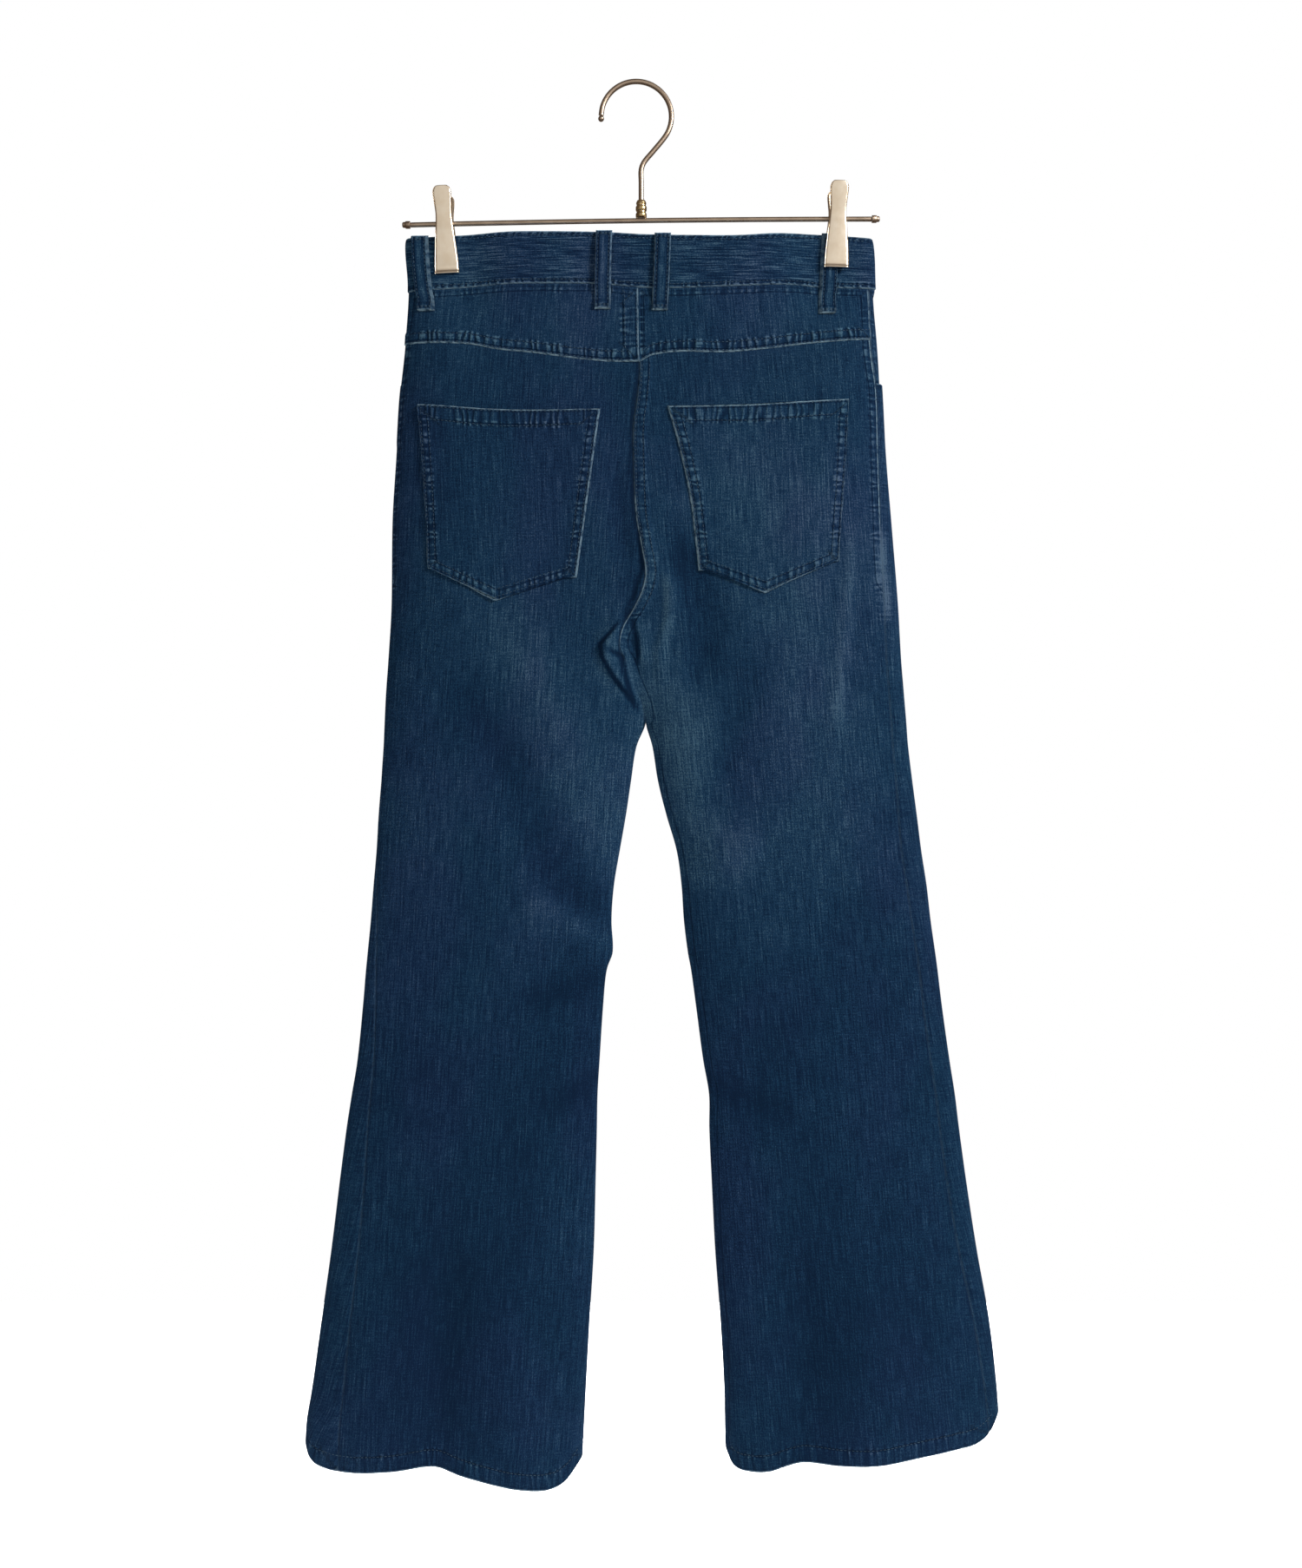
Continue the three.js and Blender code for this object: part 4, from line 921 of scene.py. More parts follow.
def back_panel(side):
    hem, yoke_seam = edge_line(HEM, side), edge_line(YOKE_SEAM, side)
    t, z, x, from_centre, from_side = laid_out(
        side, BACK_LEVELS, seam_out_columns(side, 48, 62), hem, yoke_seam, HEM_REACH, YOKE_SEAM_REACH,
    )
    from_hem = z - hem(x, -1)
    on_seat = smooth((z - SEAT_LAP_FOOT_Z) / (35 * MM))
    lift, thickness = hem_form(from_side, from_hem)
    if side == "right":
        edge_roll = round_rise(from_centre / LAP)
        lift = lift + LAP * on_seat * edge_roll * (1 - smooth((from_centre - LAP_WIDTH) / (3 * MM)))
    roping = np.sin(x * 520 + from_hem * 260) * 0.28 * MM
    lift = lift + roping * smooth(from_hem / (2 * MM)) * (1 - smooth((from_hem - HEM_HEIGHT) / (4 * MM)))
    topstitched = smooth((z - SIDE_STITCH_FOOT_Z) / (50 * MM))
    worn_side = 0.04 + (0.8 if side == "right" else 0.15) * smooth((z - SIDE_WORN_Z) / (20 * MM))
    laps = float(side == "right")
    worn_top, worn_foot = CENTRE_WORN_Z
    worn_centre = laps * (0.15 + 0.6 * smooth((worn_top - z) / (25 * MM)))
    worn_centre = worn_centre * smooth((z - worn_foot) / (12 * MM))
    marks = seam_marks(
        seam(from_side, z, worn_side, SIDE_ROW, 0.12 + 0.5 * topstitched, topstitched),
        seam(from_centre, z, worn_centre + 0.03, 8 * MM, 0.4 * laps * on_seat + 0.05, laps),
        seam(from_hem, x, 0.55, HEM_HEIGHT, 0.45),
    )
    marks["fade_and_shade"] = fade_and_shade(-1, x, z) - 0.3 * ridge(from_side, 1.5 * MM) * (z < SIDE_WORN_Z)
    # Painted shadow on the left panel beside the centre back, under the right panel's lapped edge on the
    # seat.
    if side == "left":
        marks["fade_and_shade"] = marks["fade_and_shade"] - 0.7 * on_seat * ridge(from_centre, 2.6 * MM)
    outer, inner = surface(side, t, z, lift), surface(side, t, z, -thickness)
    uv = grain_uv(side, t, z, 0.31 * SIDES[side])
    dress(f"back_{side}", outer, inner, uv, marks)


for side in SIDES:
    back_panel(side)

# %% [markdown]
# The yokes lap over the back panels. The lap is a small quarter round at the lower edge, then
# the doubled allowance, then a gentle step down where it ends. At the centre back the left yoke
# carries the felled strip that the seam's two stitch rows hold down.

# %% Yokes
YOKE_LEVELS = stretches((-222, -210, 0.7), (-210, -170, 2.0), (-170, -166, 0.8))
YOKE_REACH = 56 * MM
YOKE_ROW = 8.4 * MM
FELL_WIDTH = 12.6 * MM


def yoke(side):
    yoke_seam = edge_line(YOKE_SEAM, side)
    t, z, x, from_centre, from_side = laid_out(
        side, YOKE_LEVELS, seam_out_columns(side, 44, 60), yoke_seam, band_bottom, YOKE_REACH, YOKE_REACH,
    )
    from_low = z - yoke_seam(x, -1)
    from_top = band_bottom(x, -1) - z
    fells = side == "left"
    lift = LAP * round_rise(from_low / LAP) * (1 - 0.8 * smooth((from_low - YOKE_ROW) / (2.4 * MM)))
    if fells:
        strip = 0.7 * MM * round_rise(from_centre / (0.8 * MM))
        lift = lift + strip * (1 - smooth((from_centre - FELL_WIDTH + 1.2 * MM) / (1.4 * MM)))
    gathers = np.sin(x * 610 + 2.4 * np.sin(x * 170)) * 0.22 * MM
    lift = lift + gathers * smooth(from_low / (2 * MM)) * (1 - smooth((from_low - YOKE_ROW) / (5 * MM)))
    lift = lift - 0.4 * MM * (1 - smooth(from_side / (1.6 * MM)))
    marks = seam_marks(
        seam(from_low, x, 0.8, YOKE_ROW, 1.3),
        seam(from_top, x, 0.0, 6 * MM, 0.5),
        seam(from_side, z, 0.15 if fells else 0.45, SIDE_ROW, 0.4),
        seam(from_centre, z, 0.5 if fells else 0.0, FELL_WIDTH if fells else 4 * MM, 0.9),
    )
    marks["fade_and_shade"] = fade_and_shade(-1, x, z) + 0.05
    outer, inner = surface(side, t, z, lift), surface(side, t, z, -CLOTH)
    uv = grain_uv(side, t, z, 1.3 + 0.37 * SIDES[side])
    dress(f"yoke_{side}", outer, inner, uv, marks)


for side in SIDES:
    yoke(side)

# %% [markdown]
# A patch pocket is the panel's own surface lifted by one cloth. Its rows and columns crowd at
# the edges, where the folded cloth rolls over to meet the panel, and its top hem is thicker.

# %% Back pockets
POCKET_SHAPES = {
    "left": {
        "top": table(["at", "z"], [[-173.5, -261.0], [-106, -266.3], [-28.1, -265.8]]),
        "foot": table(["at", "z"], [[-164.6, -393.3], [-108, -419.5], [-46.7, -400.9]]),
        "outer": table(["at", "x"], [
            [-261, -173.5], [-295, -170.6], [-342, -167.0], [-395, -164.6], [-420, -164.0],
        ]),
        "inner": table(["at", "x"], [[-260, -27.6], [-330, -37.2], [-401, -46.7], [-420, -49.0]]),
    },
    "right": {
        "top": table(["at", "z"], [[24.7, -263.7], [98, -262.0], [168.4, -257.5]]),
        "foot": table(["at", "z"], [[49.5, -395.0], [100.1, -413.3], [160.1, -387.8]]),
        "outer": table(["at", "x"], [[-257, 168.4], [-320, 165.0], [-388, 160.1], [-415, 158.4]]),
        "inner": table(["at", "x"], [
            [-262, 24.4], [-292, 33.0], [-335, 42.4], [-371, 47.0], [-395, 49.5], [-415, 50.6],
        ]),
    },
}
POCKET_WIDTH = 126 * MM
POCKET_HEIGHT = 140 * MM
FOOT_SLANT = 0.92
POCKET_WORN = {"left": (0.8, 0.55, 0.8), "right": (0.9, 0.85, 0.7)}
POCKET_FADE = {"left": -0.06, "right": 0.07}
POCKET_STEP = 1.9 * MM
POCKET_CLOTH = 1.45 * MM
POCKET_HEM = 12.6 * MM
EDGE_ROW = 2.2 * MM
POCKET_ROW = 7.5 * MM
SKIN_GAP = 0.15 * MM
POCKET_MIDDLE_Z = -330 * MM


def edge_levels(length, step, edge=(0, 0.25, 0.55, 0.9, 1.3, 1.8, 2.5, 3.4)):
    """Shares of a length that crowd at both ends, where edges roll over."""
    near = np.array(edge) * MM
    middle = np.arange(near[-1] + step, length - near[-1] - step / 2, step)
    return np.concatenate((near, middle, (length - near)[::-1])) / length


def pocket_side_x(shape, z, across):
    return mix(along(shape["inner"], "x", z), along(shape["outer"], "x", z), across)


def pocket_foot_z(shape, x):
    return np.interp(x, shape["foot"]["at"], shape["foot"]["z"])


def pocket_point(shape, across, down):
    rough = pocket_side_x(shape, POCKET_MIDDLE_Z, across)
    z = mix(along(shape["top"], "z", rough), pocket_foot_z(shape, rough), down)
    return pocket_side_x(shape, z, across), z


def back_pocket(side):
    shape = POCKET_SHAPES[side]
    across, down = (edge_levels(length, POCKET_STEP) for length in (POCKET_WIDTH, POCKET_HEIGHT))
    x, z = pocket_point(shape, *np.meshgrid(across, down))
    from_top = along(shape["top"], "z", x) - z
    from_foot = np.abs(z - pocket_foot_z(shape, x)) * FOOT_SLANT
    from_inner = np.abs(x - along(shape["inner"], "x", z))
    from_outer = np.abs(along(shape["outer"], "x", z) - x)
    from_sides = np.minimum.reduce([from_foot, from_inner, from_outer])
    away = np.minimum(np.abs(from_top), from_sides)
    hem = 1 - smooth((from_top - POCKET_HEM + 0.4 * MM) / (1.2 * MM))
    border = 1 - smooth((from_sides - 9 * MM) / (2 * MM))
    lift = POCKET_CLOTH + 0.5 * MM * hem + 0.35 * MM * border
    for row in (EDGE_ROW, POCKET_ROW):
        lift = lift - 0.25 * MM * ridge(from_sides - row, 0.7 * MM)
    gathers = np.sin((x + z) * 560 + 3 * np.sin(z * 140)) * 0.16 * MM
    lift = lift + gathers * border + 0.3 * MM * np.sin(x * 60 + 1) * np.sin(z * 48)
    worn_top, worn_inner, worn_outer = POCKET_WORN[side]
    marks = seam_marks(
        seam(np.abs(from_top), x, worn_top, POCKET_HEM, 1.0),
        seam(from_inner, z, worn_inner, POCKET_ROW, 0.9),
        seam(from_outer, z, worn_outer, POCKET_ROW, 0.9),
        seam(from_foot, x, 0.7, POCKET_ROW, 0.8),
    )
    corner = np.hypot(np.minimum(from_inner, from_outer), np.minimum(np.abs(from_top), from_foot))
    marks["fade_and_shade"] = fade_and_shade(-1, x, z) * 0.6 + 0.5 * ridge(corner, 5 * MM) + POCKET_FADE[side]
    outer = placed(-1, x, z, SKIN_GAP + lift * round_rise(away / (1.2 * MM)))
    inner = placed(-1, x, z, SKIN_GAP)
    uv = np.stack((x + 2.7 + 0.03 * z, z), axis=-1)
    dress(f"back_pocket_{side}", outer, inner, uv, marks)


for side in SIDES:
    back_pocket(side)

# %% [markdown]
# The front is guessed as plain five-pocket jeans. Each front panel turns the side fold and ends
# in a scooped pocket mouth, with a facing of the same denim behind it. The left front laps over
# the right at the closure.

# %% Front panels and pocket facings
MOUTH_FOOT_Z = -243 * MM
MOUTH_X = 96 * MM
MOUTH_SCOOP = 2.4
MOUTH_REACH = 250 * MM
FACING_REACH = 96 * MM
FACING_OVERLAP = 14 * MM
FACING_DEPTH = 2.3 * MM
FLY_LAP_FOOT_Z = -300 * MM
FRONT_WORN_Z = -500 * MM
FRONT_LEVELS = stretches((-1112, -1095, 1.5), (-1095, -420, 4.8), (-420, -190, 2.6), (-190, -182, 1.0))
FACING_LEVELS = stretches((-262, -166, 2.4))


def mouth_z(x, face):
    share = np.clip((np.abs(x - CENTRE_FRONT_TOP_X) - MOUTH_X) / (HALF_WAIST - MOUTH_X), 0, 1)
    scoop = mix(band_bottom(x, face), MOUTH_FOOT_Z, 1 - (1 - share) ** MOUTH_SCOOP)
    return np.where(face < 0, MOUTH_FOOT_Z, scoop)


def front_columns(side):
    near_centre = 1 - 0.08 * (1 - np.linspace(0, 1, 15)[1:]) ** 1.5
    spread = np.concatenate((np.linspace(0, 0.92, 74), near_centre))
    return lambda z: mix(side_seam_t(side, z), 1.0, spread)


def front_panel(side):
    hem = edge_line(HEM, side)
    t, z, x, from_side, from_centre = laid_out(
        side, FRONT_LEVELS, front_columns(side), hem, mouth_z, HEM_REACH, MOUTH_REACH,
    )
    face = np.where(t < 0, -1, 1)
    from_hem = z - hem(x, face)
    from_mouth = mouth_z(x, face) - z
    mouth_side = np.abs(x - CENTRE_FRONT_TOP_X) > MOUTH_X
    lift, thickness = hem_form(from_side, from_hem)
    lift = lift - 0.7 * MM * (1 - round_rise(from_mouth / (1.0 * MM))) * mouth_side
    if side == "left":
        on_fly = smooth((z - FLY_LAP_FOOT_Z) / (12 * MM))
        lift = lift + LAP * on_fly * round_rise(from_centre / LAP)
    marks = seam_marks(
        seam(from_side, z, 0.05, SIDE_ROW, 0.22, 0.0),
        seam(from_centre, z, 0.2 * smooth((z - FRONT_WORN_Z) / (50 * MM)), 9 * MM, 0.4),
        seam(from_hem, x, 0.55, HEM_HEIGHT, 0.45),
        seam(np.where(mouth_side, from_mouth, 1.0), x, 0.25, 6 * MM, 0.6),
    )
    marks["fade_and_shade"] = mix(fade_and_shade(-1, x, z), fade_and_shade(1, x, z), smooth(t * 4))
    outer, inner = surface(side, t, z, lift), surface(side, t, z, -thickness)
    uv = grain_uv(side, t, z, 4.1 + 0.29 * SIDES[side])
    dress(f"front_{side}", outer, inner, uv, marks)


def pocket_facing(side):
    edge_x = CENTRE_FRONT_TOP_X + SIDES[side] * (MOUTH_X - FACING_OVERLAP)

    def columns_at(z):
        near = inner_x(side, 1, z)
        end = t_from_share((edge_x - near) / (along(OUTLINE, side + "_outer", z) - near), 1)
        return mix(side_seam_t(side, z), end, np.linspace(0, 1, 46))

    def low(x, face):
        return np.minimum(mouth_z(x, face) - FACING_OVERLAP, band_bottom(x, face) - 20 * MM)

    t, z, x, from_side, _ = laid_out(
        side, FACING_LEVELS, columns_at, low, band_bottom, FACING_REACH, FACING_REACH,
    )
    face = np.where(t < 0, -1, 1)
    from_top = band_bottom(x, face) - z
    under_mouth = smooth((mouth_z(x, face) + 2 * MM - z) / (4 * MM))
    inward = smooth(np.minimum(from_side, from_top) / (9 * MM))
    sunk = mix(0.2 * MM, FACING_DEPTH, np.maximum(under_mouth, inward))
    marks = seam_marks(seam(from_side, z, 0.2, SIDE_ROW, 0.5), seam(from_top, x, 0.0, 6 * MM, 0.3))
    marks["fade_and_shade"] = 0.02
    outer, inner = surface(side, t, z, -sunk), surface(side, t, z, -sunk - CLOTH)
    uv = grain_uv(side, t, z, 5.9 + 0.41 * SIDES[side])
    dress(f"pocket_facing_{side}", outer, inner, uv, marks)


for side in SIDES:
    front_panel(side)
    pocket_facing(side)

# %% [markdown]
# The waistband is one strip from the closure round the back to the closure again, cut with its
# warp along its length, so its slubs lie level, and they are stronger than on the legs. Both
# edges roll in. Loops stand over it, each a folded strip with a worn crest between two stitch
# rows.

# %% Waistband and belt loops
BAND_PROUD = 0.8 * MM
BAND_INSIDE = 1.6 * MM
BAND_LAP_OUT = 2.7 * MM
BAND_LAP = 24 * MM
BAND_MIDDLE_Z = -145 * MM
BAND_HEIGHT = 43 * MM
BAND_ROW = 3.4 * MM
BAND_COLUMNS = 171
LAP_COLUMNS = 16


def waistband():
    shares = edge_levels(BAND_HEIGHT, POCKET_STEP)
    round_waist = np.linspace(-1, 1, BAND_COLUMNS)
    lap_x = CENTRE_FRONT_TOP_X + BAND_LAP * np.linspace(1, 0.08, LAP_COLUMNS)
    parts = [
        ("lap", lap_x, np.ones(LAP_COLUMNS)),
        ("left", -round_waist, np.clip(1 - (1 + round_waist) * 4, 0, 1)),
        ("right", round_waist[1:], np.zeros(BAND_COLUMNS - 1)),
    ]
    skins = {"outer": [], "inner": [], "x": [], "z": [], "face": []}
    gap = {"outer": BAND_PROUD, "inner": -BAND_INSIDE}
    for where, along_part, lapped in parts:
        if where == "lap":
            x, face = along_part, np.ones(LAP_COLUMNS)
        else:
            x = surface(where, along_part, BAND_MIDDLE_Z)[:, 0]
            face = np.where(along_part < 0, -1, 1)
        low, high = band_bottom(x, face), band_top(x, face)
        z = mix(low, high, shares[:, None])
        edge = np.minimum(z - low, high - z)
        rolled = round_rise(edge / (1.3 * MM))
        wave = 0.28 * MM * np.sin(x * 74 + 0.6) * np.sin(np.pi * shares[:, None])
        for skin, out in gap.items():
            extra = rolled if skin == "outer" else 1 - 0.45 * (1 - rolled)
            lift = out * extra + BAND_LAP_OUT * lapped + wave
            if where == "lap":
                skins[skin].append(placed(1, x + 0 * z, z, lift))
            else:
                skins[skin].append(surface(where, along_part + 0 * z, z, lift))
        for name, values in (("x", x), ("z", z), ("face", face)):
            skins[name].append(values + 0 * z)
    whole = {name: np.concatenate(layers, axis=1) for name, layers in skins.items()}
    outer, z, x, face = whole["outer"], whole["z"], whole["x"], whole["face"]
    run = run_along(outer, 1)
    from_low = z - band_bottom(x, face)
    from_top = band_top(x, face) - z
    marks = seam_marks(
        seam(from_low, run, 0.45, BAND_ROW, 1.0),
        seam(from_top, run, 0.4, BAND_ROW, 0.7),
        seam(run, z, 0.6, BAND_ROW, 0.4),
    )
    blotches = np.sin(run * 61 + z * 90) * np.sin(run * 23 - z * 160 + 1)
    marks["fade_and_shade"] = 0.12 + 0.13 * blotches + 0.07 * np.sin(run * 9.1 + 1)
    uv = np.stack((z + 7.3, run), axis=-1)
    dress("waistband", outer, whole["inner"], uv, marks, finishes=(BAND_DENIM, DENIM_INSIDE))


LOOP_WIDTH = 13 * MM
LOOP_CLOTH = 1.8 * MM
LOOP_GAP = 0.7 * MM
LOOP_ROW = 4.2 * MM
LOOP_EDGE = (0, 0.3, 0.7, 1.2)
LOOP_TOP_RISE = 1 * MM
BELT_LOOPS = {
    # name: face, x at the top, x at the foot, foot height, bulge, all but the face in millimetres
    "back_left": (-1, -172.4, -167.2, -185.0, 0.9),
    "centre_left": (-1, -25.4, -26.8, -184.6, 1.5),
    "centre_right": (-1, 21.2, 18.8, -185.6, 1.5),
    "back_right": (-1, 154.6, 151.8, -187.8, 0.0),
    "front_left": (1, -84.0, -85.0, -198.0, 1.5),
    "front_right": (1, 90.0, 91.0, -198.0, 1.5),
}


def loop_lift(face, x, z, down, bulge):
    over_band = smooth((z - band_bottom(x, face) + 7 * MM) / (6 * MM))
    return LOOP_GAP + BAND_PROUD * over_band + bulge * np.sin(np.pi * np.clip(down * 1.2, 0, 1))


def belt_loop(name, face, top_x, foot_x, foot_z, bulge):
    top_z = band_top(top_x, face) + LOOP_TOP_RISE
    offsets = (edge_levels(LOOP_WIDTH, 0.9 * MM, LOOP_EDGE) - 0.5) * LOOP_WIDTH
    length = top_z - foot_z
    down = edge_levels(length, 1.2 * MM, LOOP_EDGE)[:, None]
    z = mix(top_z, foot_z, down) + 0 * offsets
    x = mix(top_x, foot_x, down) + offsets
    from_middle = np.abs(offsets)
    from_side = LOOP_WIDTH / 2 - from_middle
    from_top, from_foot = down * length, (1 - down) * length
    edge = np.minimum(from_side, np.minimum(from_top, from_foot))
    base = loop_lift(face, x, z, down, bulge)
    foot_fold = 0.5 * MM * smooth(1 - (from_foot - 6 * MM) / (1.5 * MM))
    groove = 0.3 * MM * ridge(from_middle - LOOP_ROW, 0.7 * MM)
    lift = (LOOP_CLOTH + foot_fold - groove) * round_rise(edge / (1.2 * MM))
    outer = placed(face, x, z, base + lift)
    inner = placed(face, x, z, base - 0.1 * MM)
    marks = seam_marks(
        seam(from_side + 0 * z, z, 0.32, LOOP_WIDTH / 2 - LOOP_ROW, 0.5),
        seam(from_foot + 0 * z, x, 0.85, 3 * MM, 0.5),
        seam(from_top + 0 * z, x, 0.6, 4 * MM, 0.3),
    )
    crest = ridge(offsets, 1.7 * MM) * (0.75 + 0.25 * np.sin(z * 400))
    # Painted shadow in the fold above the foot and painted shade on the flanks beside the crest; the
    # crest's paleness is wear.
    foot_fold_shadow = ridge(from_foot - 6.5 * MM, 0.9 * MM)
    flank_shade = ridge(from_middle - 3.4 * MM, 1.1 * MM)
    marks["fade_and_shade"] = 0.42 * crest - 0.28 * flank_shade - 0.5 * foot_fold_shadow
    uv = np.stack((offsets + 9.1 + foot_x * 3 + 0 * z, z), axis=-1)
    dress(f"belt_loop_{name}", outer, inner, uv, marks)


waistband()
for name, (face, *sizes) in BELT_LOOPS.items():
    belt_loop(name, face, *(size * MM for size in sizes))

# %% [markdown]
# Behind the lap lie the zip's tape and a shield of plain denim, cut short of the waistband.
# They show only from inside the waist, and they keep the closure whole there.

# %% Zip tape and fly shield
ZIP_HALF_WIDTH = 13 * MM
ZIP_FOOT_Z = -300 * MM
SHIELD_HALF_WIDTH = 20 * MM
SHIELD_FOOT_Z = -312 * MM
ZIP_INSET = 2.3 * MM
ZIP_CLOTH = 1.0 * MM
FAR_SEAM = 20 * MM


def tape_finish():
    material, wiring = new_material("dark woven tape")
    place = wiring.object_place()
    rib = wiring.noise(place, (900, 900, 120), flat=False)
    tone = wiring.blend(rib, (0.010, 0.014, 0.024, 1), (0.024, 0.030, 0.044, 1))
    wiring.finish({
        "Base Color": tone, "Roughness": 0.8, "Specular IOR Level": 0.2,
        "Normal": wiring.bump(rib, 0.4, 0.2 * MM),
    })
    return material


TAPE = tape_finish()


def fly_strip(name, node, slot, half_width, foot_z, inset, thickness, finish):
    top_z = float(band_bottom(CENTRE_FRONT_TOP_X, 1)) - 1.2 * MM
    z = np.linspace(foot_z, top_z, 60)[:, None]
    x = centre_front_x(z) + np.linspace(-half_width, half_width, 21)
    z = z + 0 * x
    outer, inner = placed(1, x, z, -inset), placed(1, x, z, -inset - thickness)
    marks = {"edge": FAR_SEAM, "run": z, "worn": 0, "pucker": 0, "stitch": FAR_SEAM, "fade_and_shade": 0}
    uv = np.stack((x, z), axis=-1)
    dress(node, outer, inner, uv, marks, name, slot, (finish, finish))


fly_strip("zip_tape", "zip", "zip", ZIP_HALF_WIDTH, ZIP_FOOT_Z, ZIP_INSET, ZIP_CLOTH, TAPE)
fly_strip(
    "fly_shield_cloth", "fly_shield", "inside_denim", SHIELD_HALF_WIDTH, SHIELD_FOOT_Z,
    ZIP_INSET + ZIP_CLOTH + 0.3 * MM, CLOTH, DENIM_INSIDE,
)

# %% [markdown]
# Metal needs two things: a base colour with a trace of grain, and fine scratches that spread
# its highlights. The wires are champagne steel, the clips satin nickel, the fasteners aged brass.

# %% Metals
def metal_finish(name, dark, pale, roughness, grain, worn=0.25, relief=0.12):
    material, wiring = new_material(name)
    place = wiring.object_place()
    cloud = wiring.noise(place, (90, 90, 90), 3.0, flat=False)
    scratch = wiring.noise(place, grain, 2.0, 0.7, flat=False)
    tone = wiring.blend(wiring.step(cloud, 0.3, 0.7), dark, pale)
    rough = wiring.total(wiring.scaled(scratch, 0.5, worn), wiring.scaled(cloud, 0.5, 0.12), roughness)
    wiring.finish({
        "Base Color": tone, "Metallic": 1.0, "Roughness": rough,
        "Normal": wiring.bump(scratch, relief, 0.1 * MM),
    })
    return material


CHAMPAGNE = metal_finish(
    "champagne steel", (0.40, 0.31, 0.235, 1), (0.48, 0.38, 0.29, 1), 0.42, (900, 300, 300), 0.04, 0.0,
)
NICKEL = metal_finish(
    "satin nickel", (0.80, 0.68, 0.53, 1), (0.88, 0.78, 0.64, 1), 0.36, (1400, 1400, 120), 0.08, 0.05,
)
BRASS = metal_finish("aged brass", (0.42, 0.30, 0.15, 1), (0.66, 0.50, 0.28, 1), 0.34, (600, 600, 600))
print("metals:", CHAMPAGNE.name, NICKEL.name, BRASS.name)

# %% [markdown]
# Wires and turned parts are both rings of points joined into a skin. One helper closes rings
# into a mesh; a wire's rings follow a path, and a turned part's rings follow a profile.

# %% Wires and turned parts
ROUND = 28
EDGE_RINGS = 5


def skin_rings(name, rings, material, closed_ends=True):
    """Joins rings of equal count into one closed mesh."""
    rings = np.asarray(rings)
    count, around = rings.shape[:2]
    index = np.arange(count * around).reshape(count, around)
    after = np.roll(index, -1, axis=1)
    faces = np.stack((index[:-1], after[:-1], after[1:], index[1:]), axis=-1).reshape(-1, 4).tolist()
    if closed_ends:
        faces += [index[0][::-1].tolist(), index[-1].tolist()]
    else:
        faces += np.stack((index[-1], after[-1], after[0], index[0]), axis=-1).tolist()
    mesh = bpy.data.meshes.new(name)
    mesh.from_pydata(rings.reshape(-1, 3).tolist(), [], faces)
    mesh.polygons.foreach_set("use_smooth", np.ones(len(faces), dtype=bool))
    mesh.set_sharp_from_angle(angle=math.radians(40))
    mesh.materials.append(material)
    mesh.update()
    corners = rings.reshape(-1, 3)
    volume = 0.0
    for face in faces:
        first = corners[face[0]]
        for second, third in zip(face[1:-1], face[2:]):
            volume += float(first @ np.cross(corners[second], corners[third]))
    if volume < 0:
        mesh.flip_normals()
    return add_object(name, mesh)


def wire(name, path, radii, material, around=ROUND):
    """A round wire along a path that stays in the hanger's own plane."""
    path = np.asarray(path, dtype=float)
    ahead = np.gradient(path, axis=0)
    ahead /= np.linalg.norm(ahead, axis=1, keepdims=True)
    level = np.array([0.0, 1.0, 0.0])
    across = np.cross(ahead, level)
    angles = full_turn(around)[:, None]
    radii = np.broadcast_to(radii, len(path))[:, None, None]
    spokes = across[:, None] * np.cos(angles) + level * np.sin(angles)
    return skin_rings(name, path[:, None] + radii * spokes, material)


def rounded_ends(length, radius, edge):
    """Stations along a rod and its radii there, with both end edges rounded."""
    turn = np.linspace(0, np.pi / 2, EDGE_RINGS)
    start, slim = edge * (1 - np.cos(turn)), radius - edge * (1 - np.sin(turn))
    return np.concatenate((start, (length - start)[::-1])), np.concatenate((slim, slim[::-1]))


def turned(name, profile, centre, axis, material, closed_ends=True, around=ROUND):
    """A turned part: (radius, height) pairs in millimetres, spun about an axis."""
    axis = np.array(axis, dtype=float)
    side_way = np.cross(axis, (0.3, 0.4, 0.86))
    side_way /= np.linalg.norm(side_way)
    other_way = np.cross(axis, side_way)
    angles = full_turn(around)[:, None]
    spokes = side_way * np.cos(angles) + other_way * np.sin(angles)
    rings = [np.array(centre) + axis * height * MM + spokes * radius * MM for radius, height in profile]
    return skin_rings(name, rings, material, closed_ends)


# %% [markdown]
# The hanger: a slightly bowed bar with an end cap each side, and a hook whose foot turns into a
# straight stem that stands in a grooved ferrule on the bar.

# %% Hanger wires
UP = (0, 0, 1)
SEAM_GAP = 0.3 * MM
STEM_X = 4 * MM
BAR_RADIUS = 2 * MM
BAR_ENDS = (-182 * MM, 189.7 * MM)
WIRE_RADIUS = 2.1 * MM
HOOK_RADIUS = 28.35 * MM
HOOK_ANGLES = (178, -39.5)
BALL_RADIUS = 2.4
STEM_TOP_Z = -68 * MM
FERRULE_TOP_Z = -93.9 * MM


def bar_z(x):
    run = x - STEM_X
    return -110.1 * MM + 0.0127 * run - 0.0325 * run * run


def hanger_bar():
    length = BAR_ENDS[1] - BAR_ENDS[0]
    run, radii = rounded_ends(length, BAR_RADIUS, 0.5 * MM)
    middle = np.linspace(run[EDGE_RINGS - 1], run[EDGE_RINGS], 42)[1:-1]
    run = np.insert(run, EDGE_RINGS, middle)
    radii = np.insert(radii, EDGE_RINGS, np.full(len(middle), BAR_RADIUS))
    x = BAR_ENDS[0] + run
    path = np.stack((x, 0 * x, bar_z(x)), axis=-1)
    hand_over(wire("hanger_bar_wire", path, radii, CHAMPAGNE), "hanger_steel", "hanger_bar")


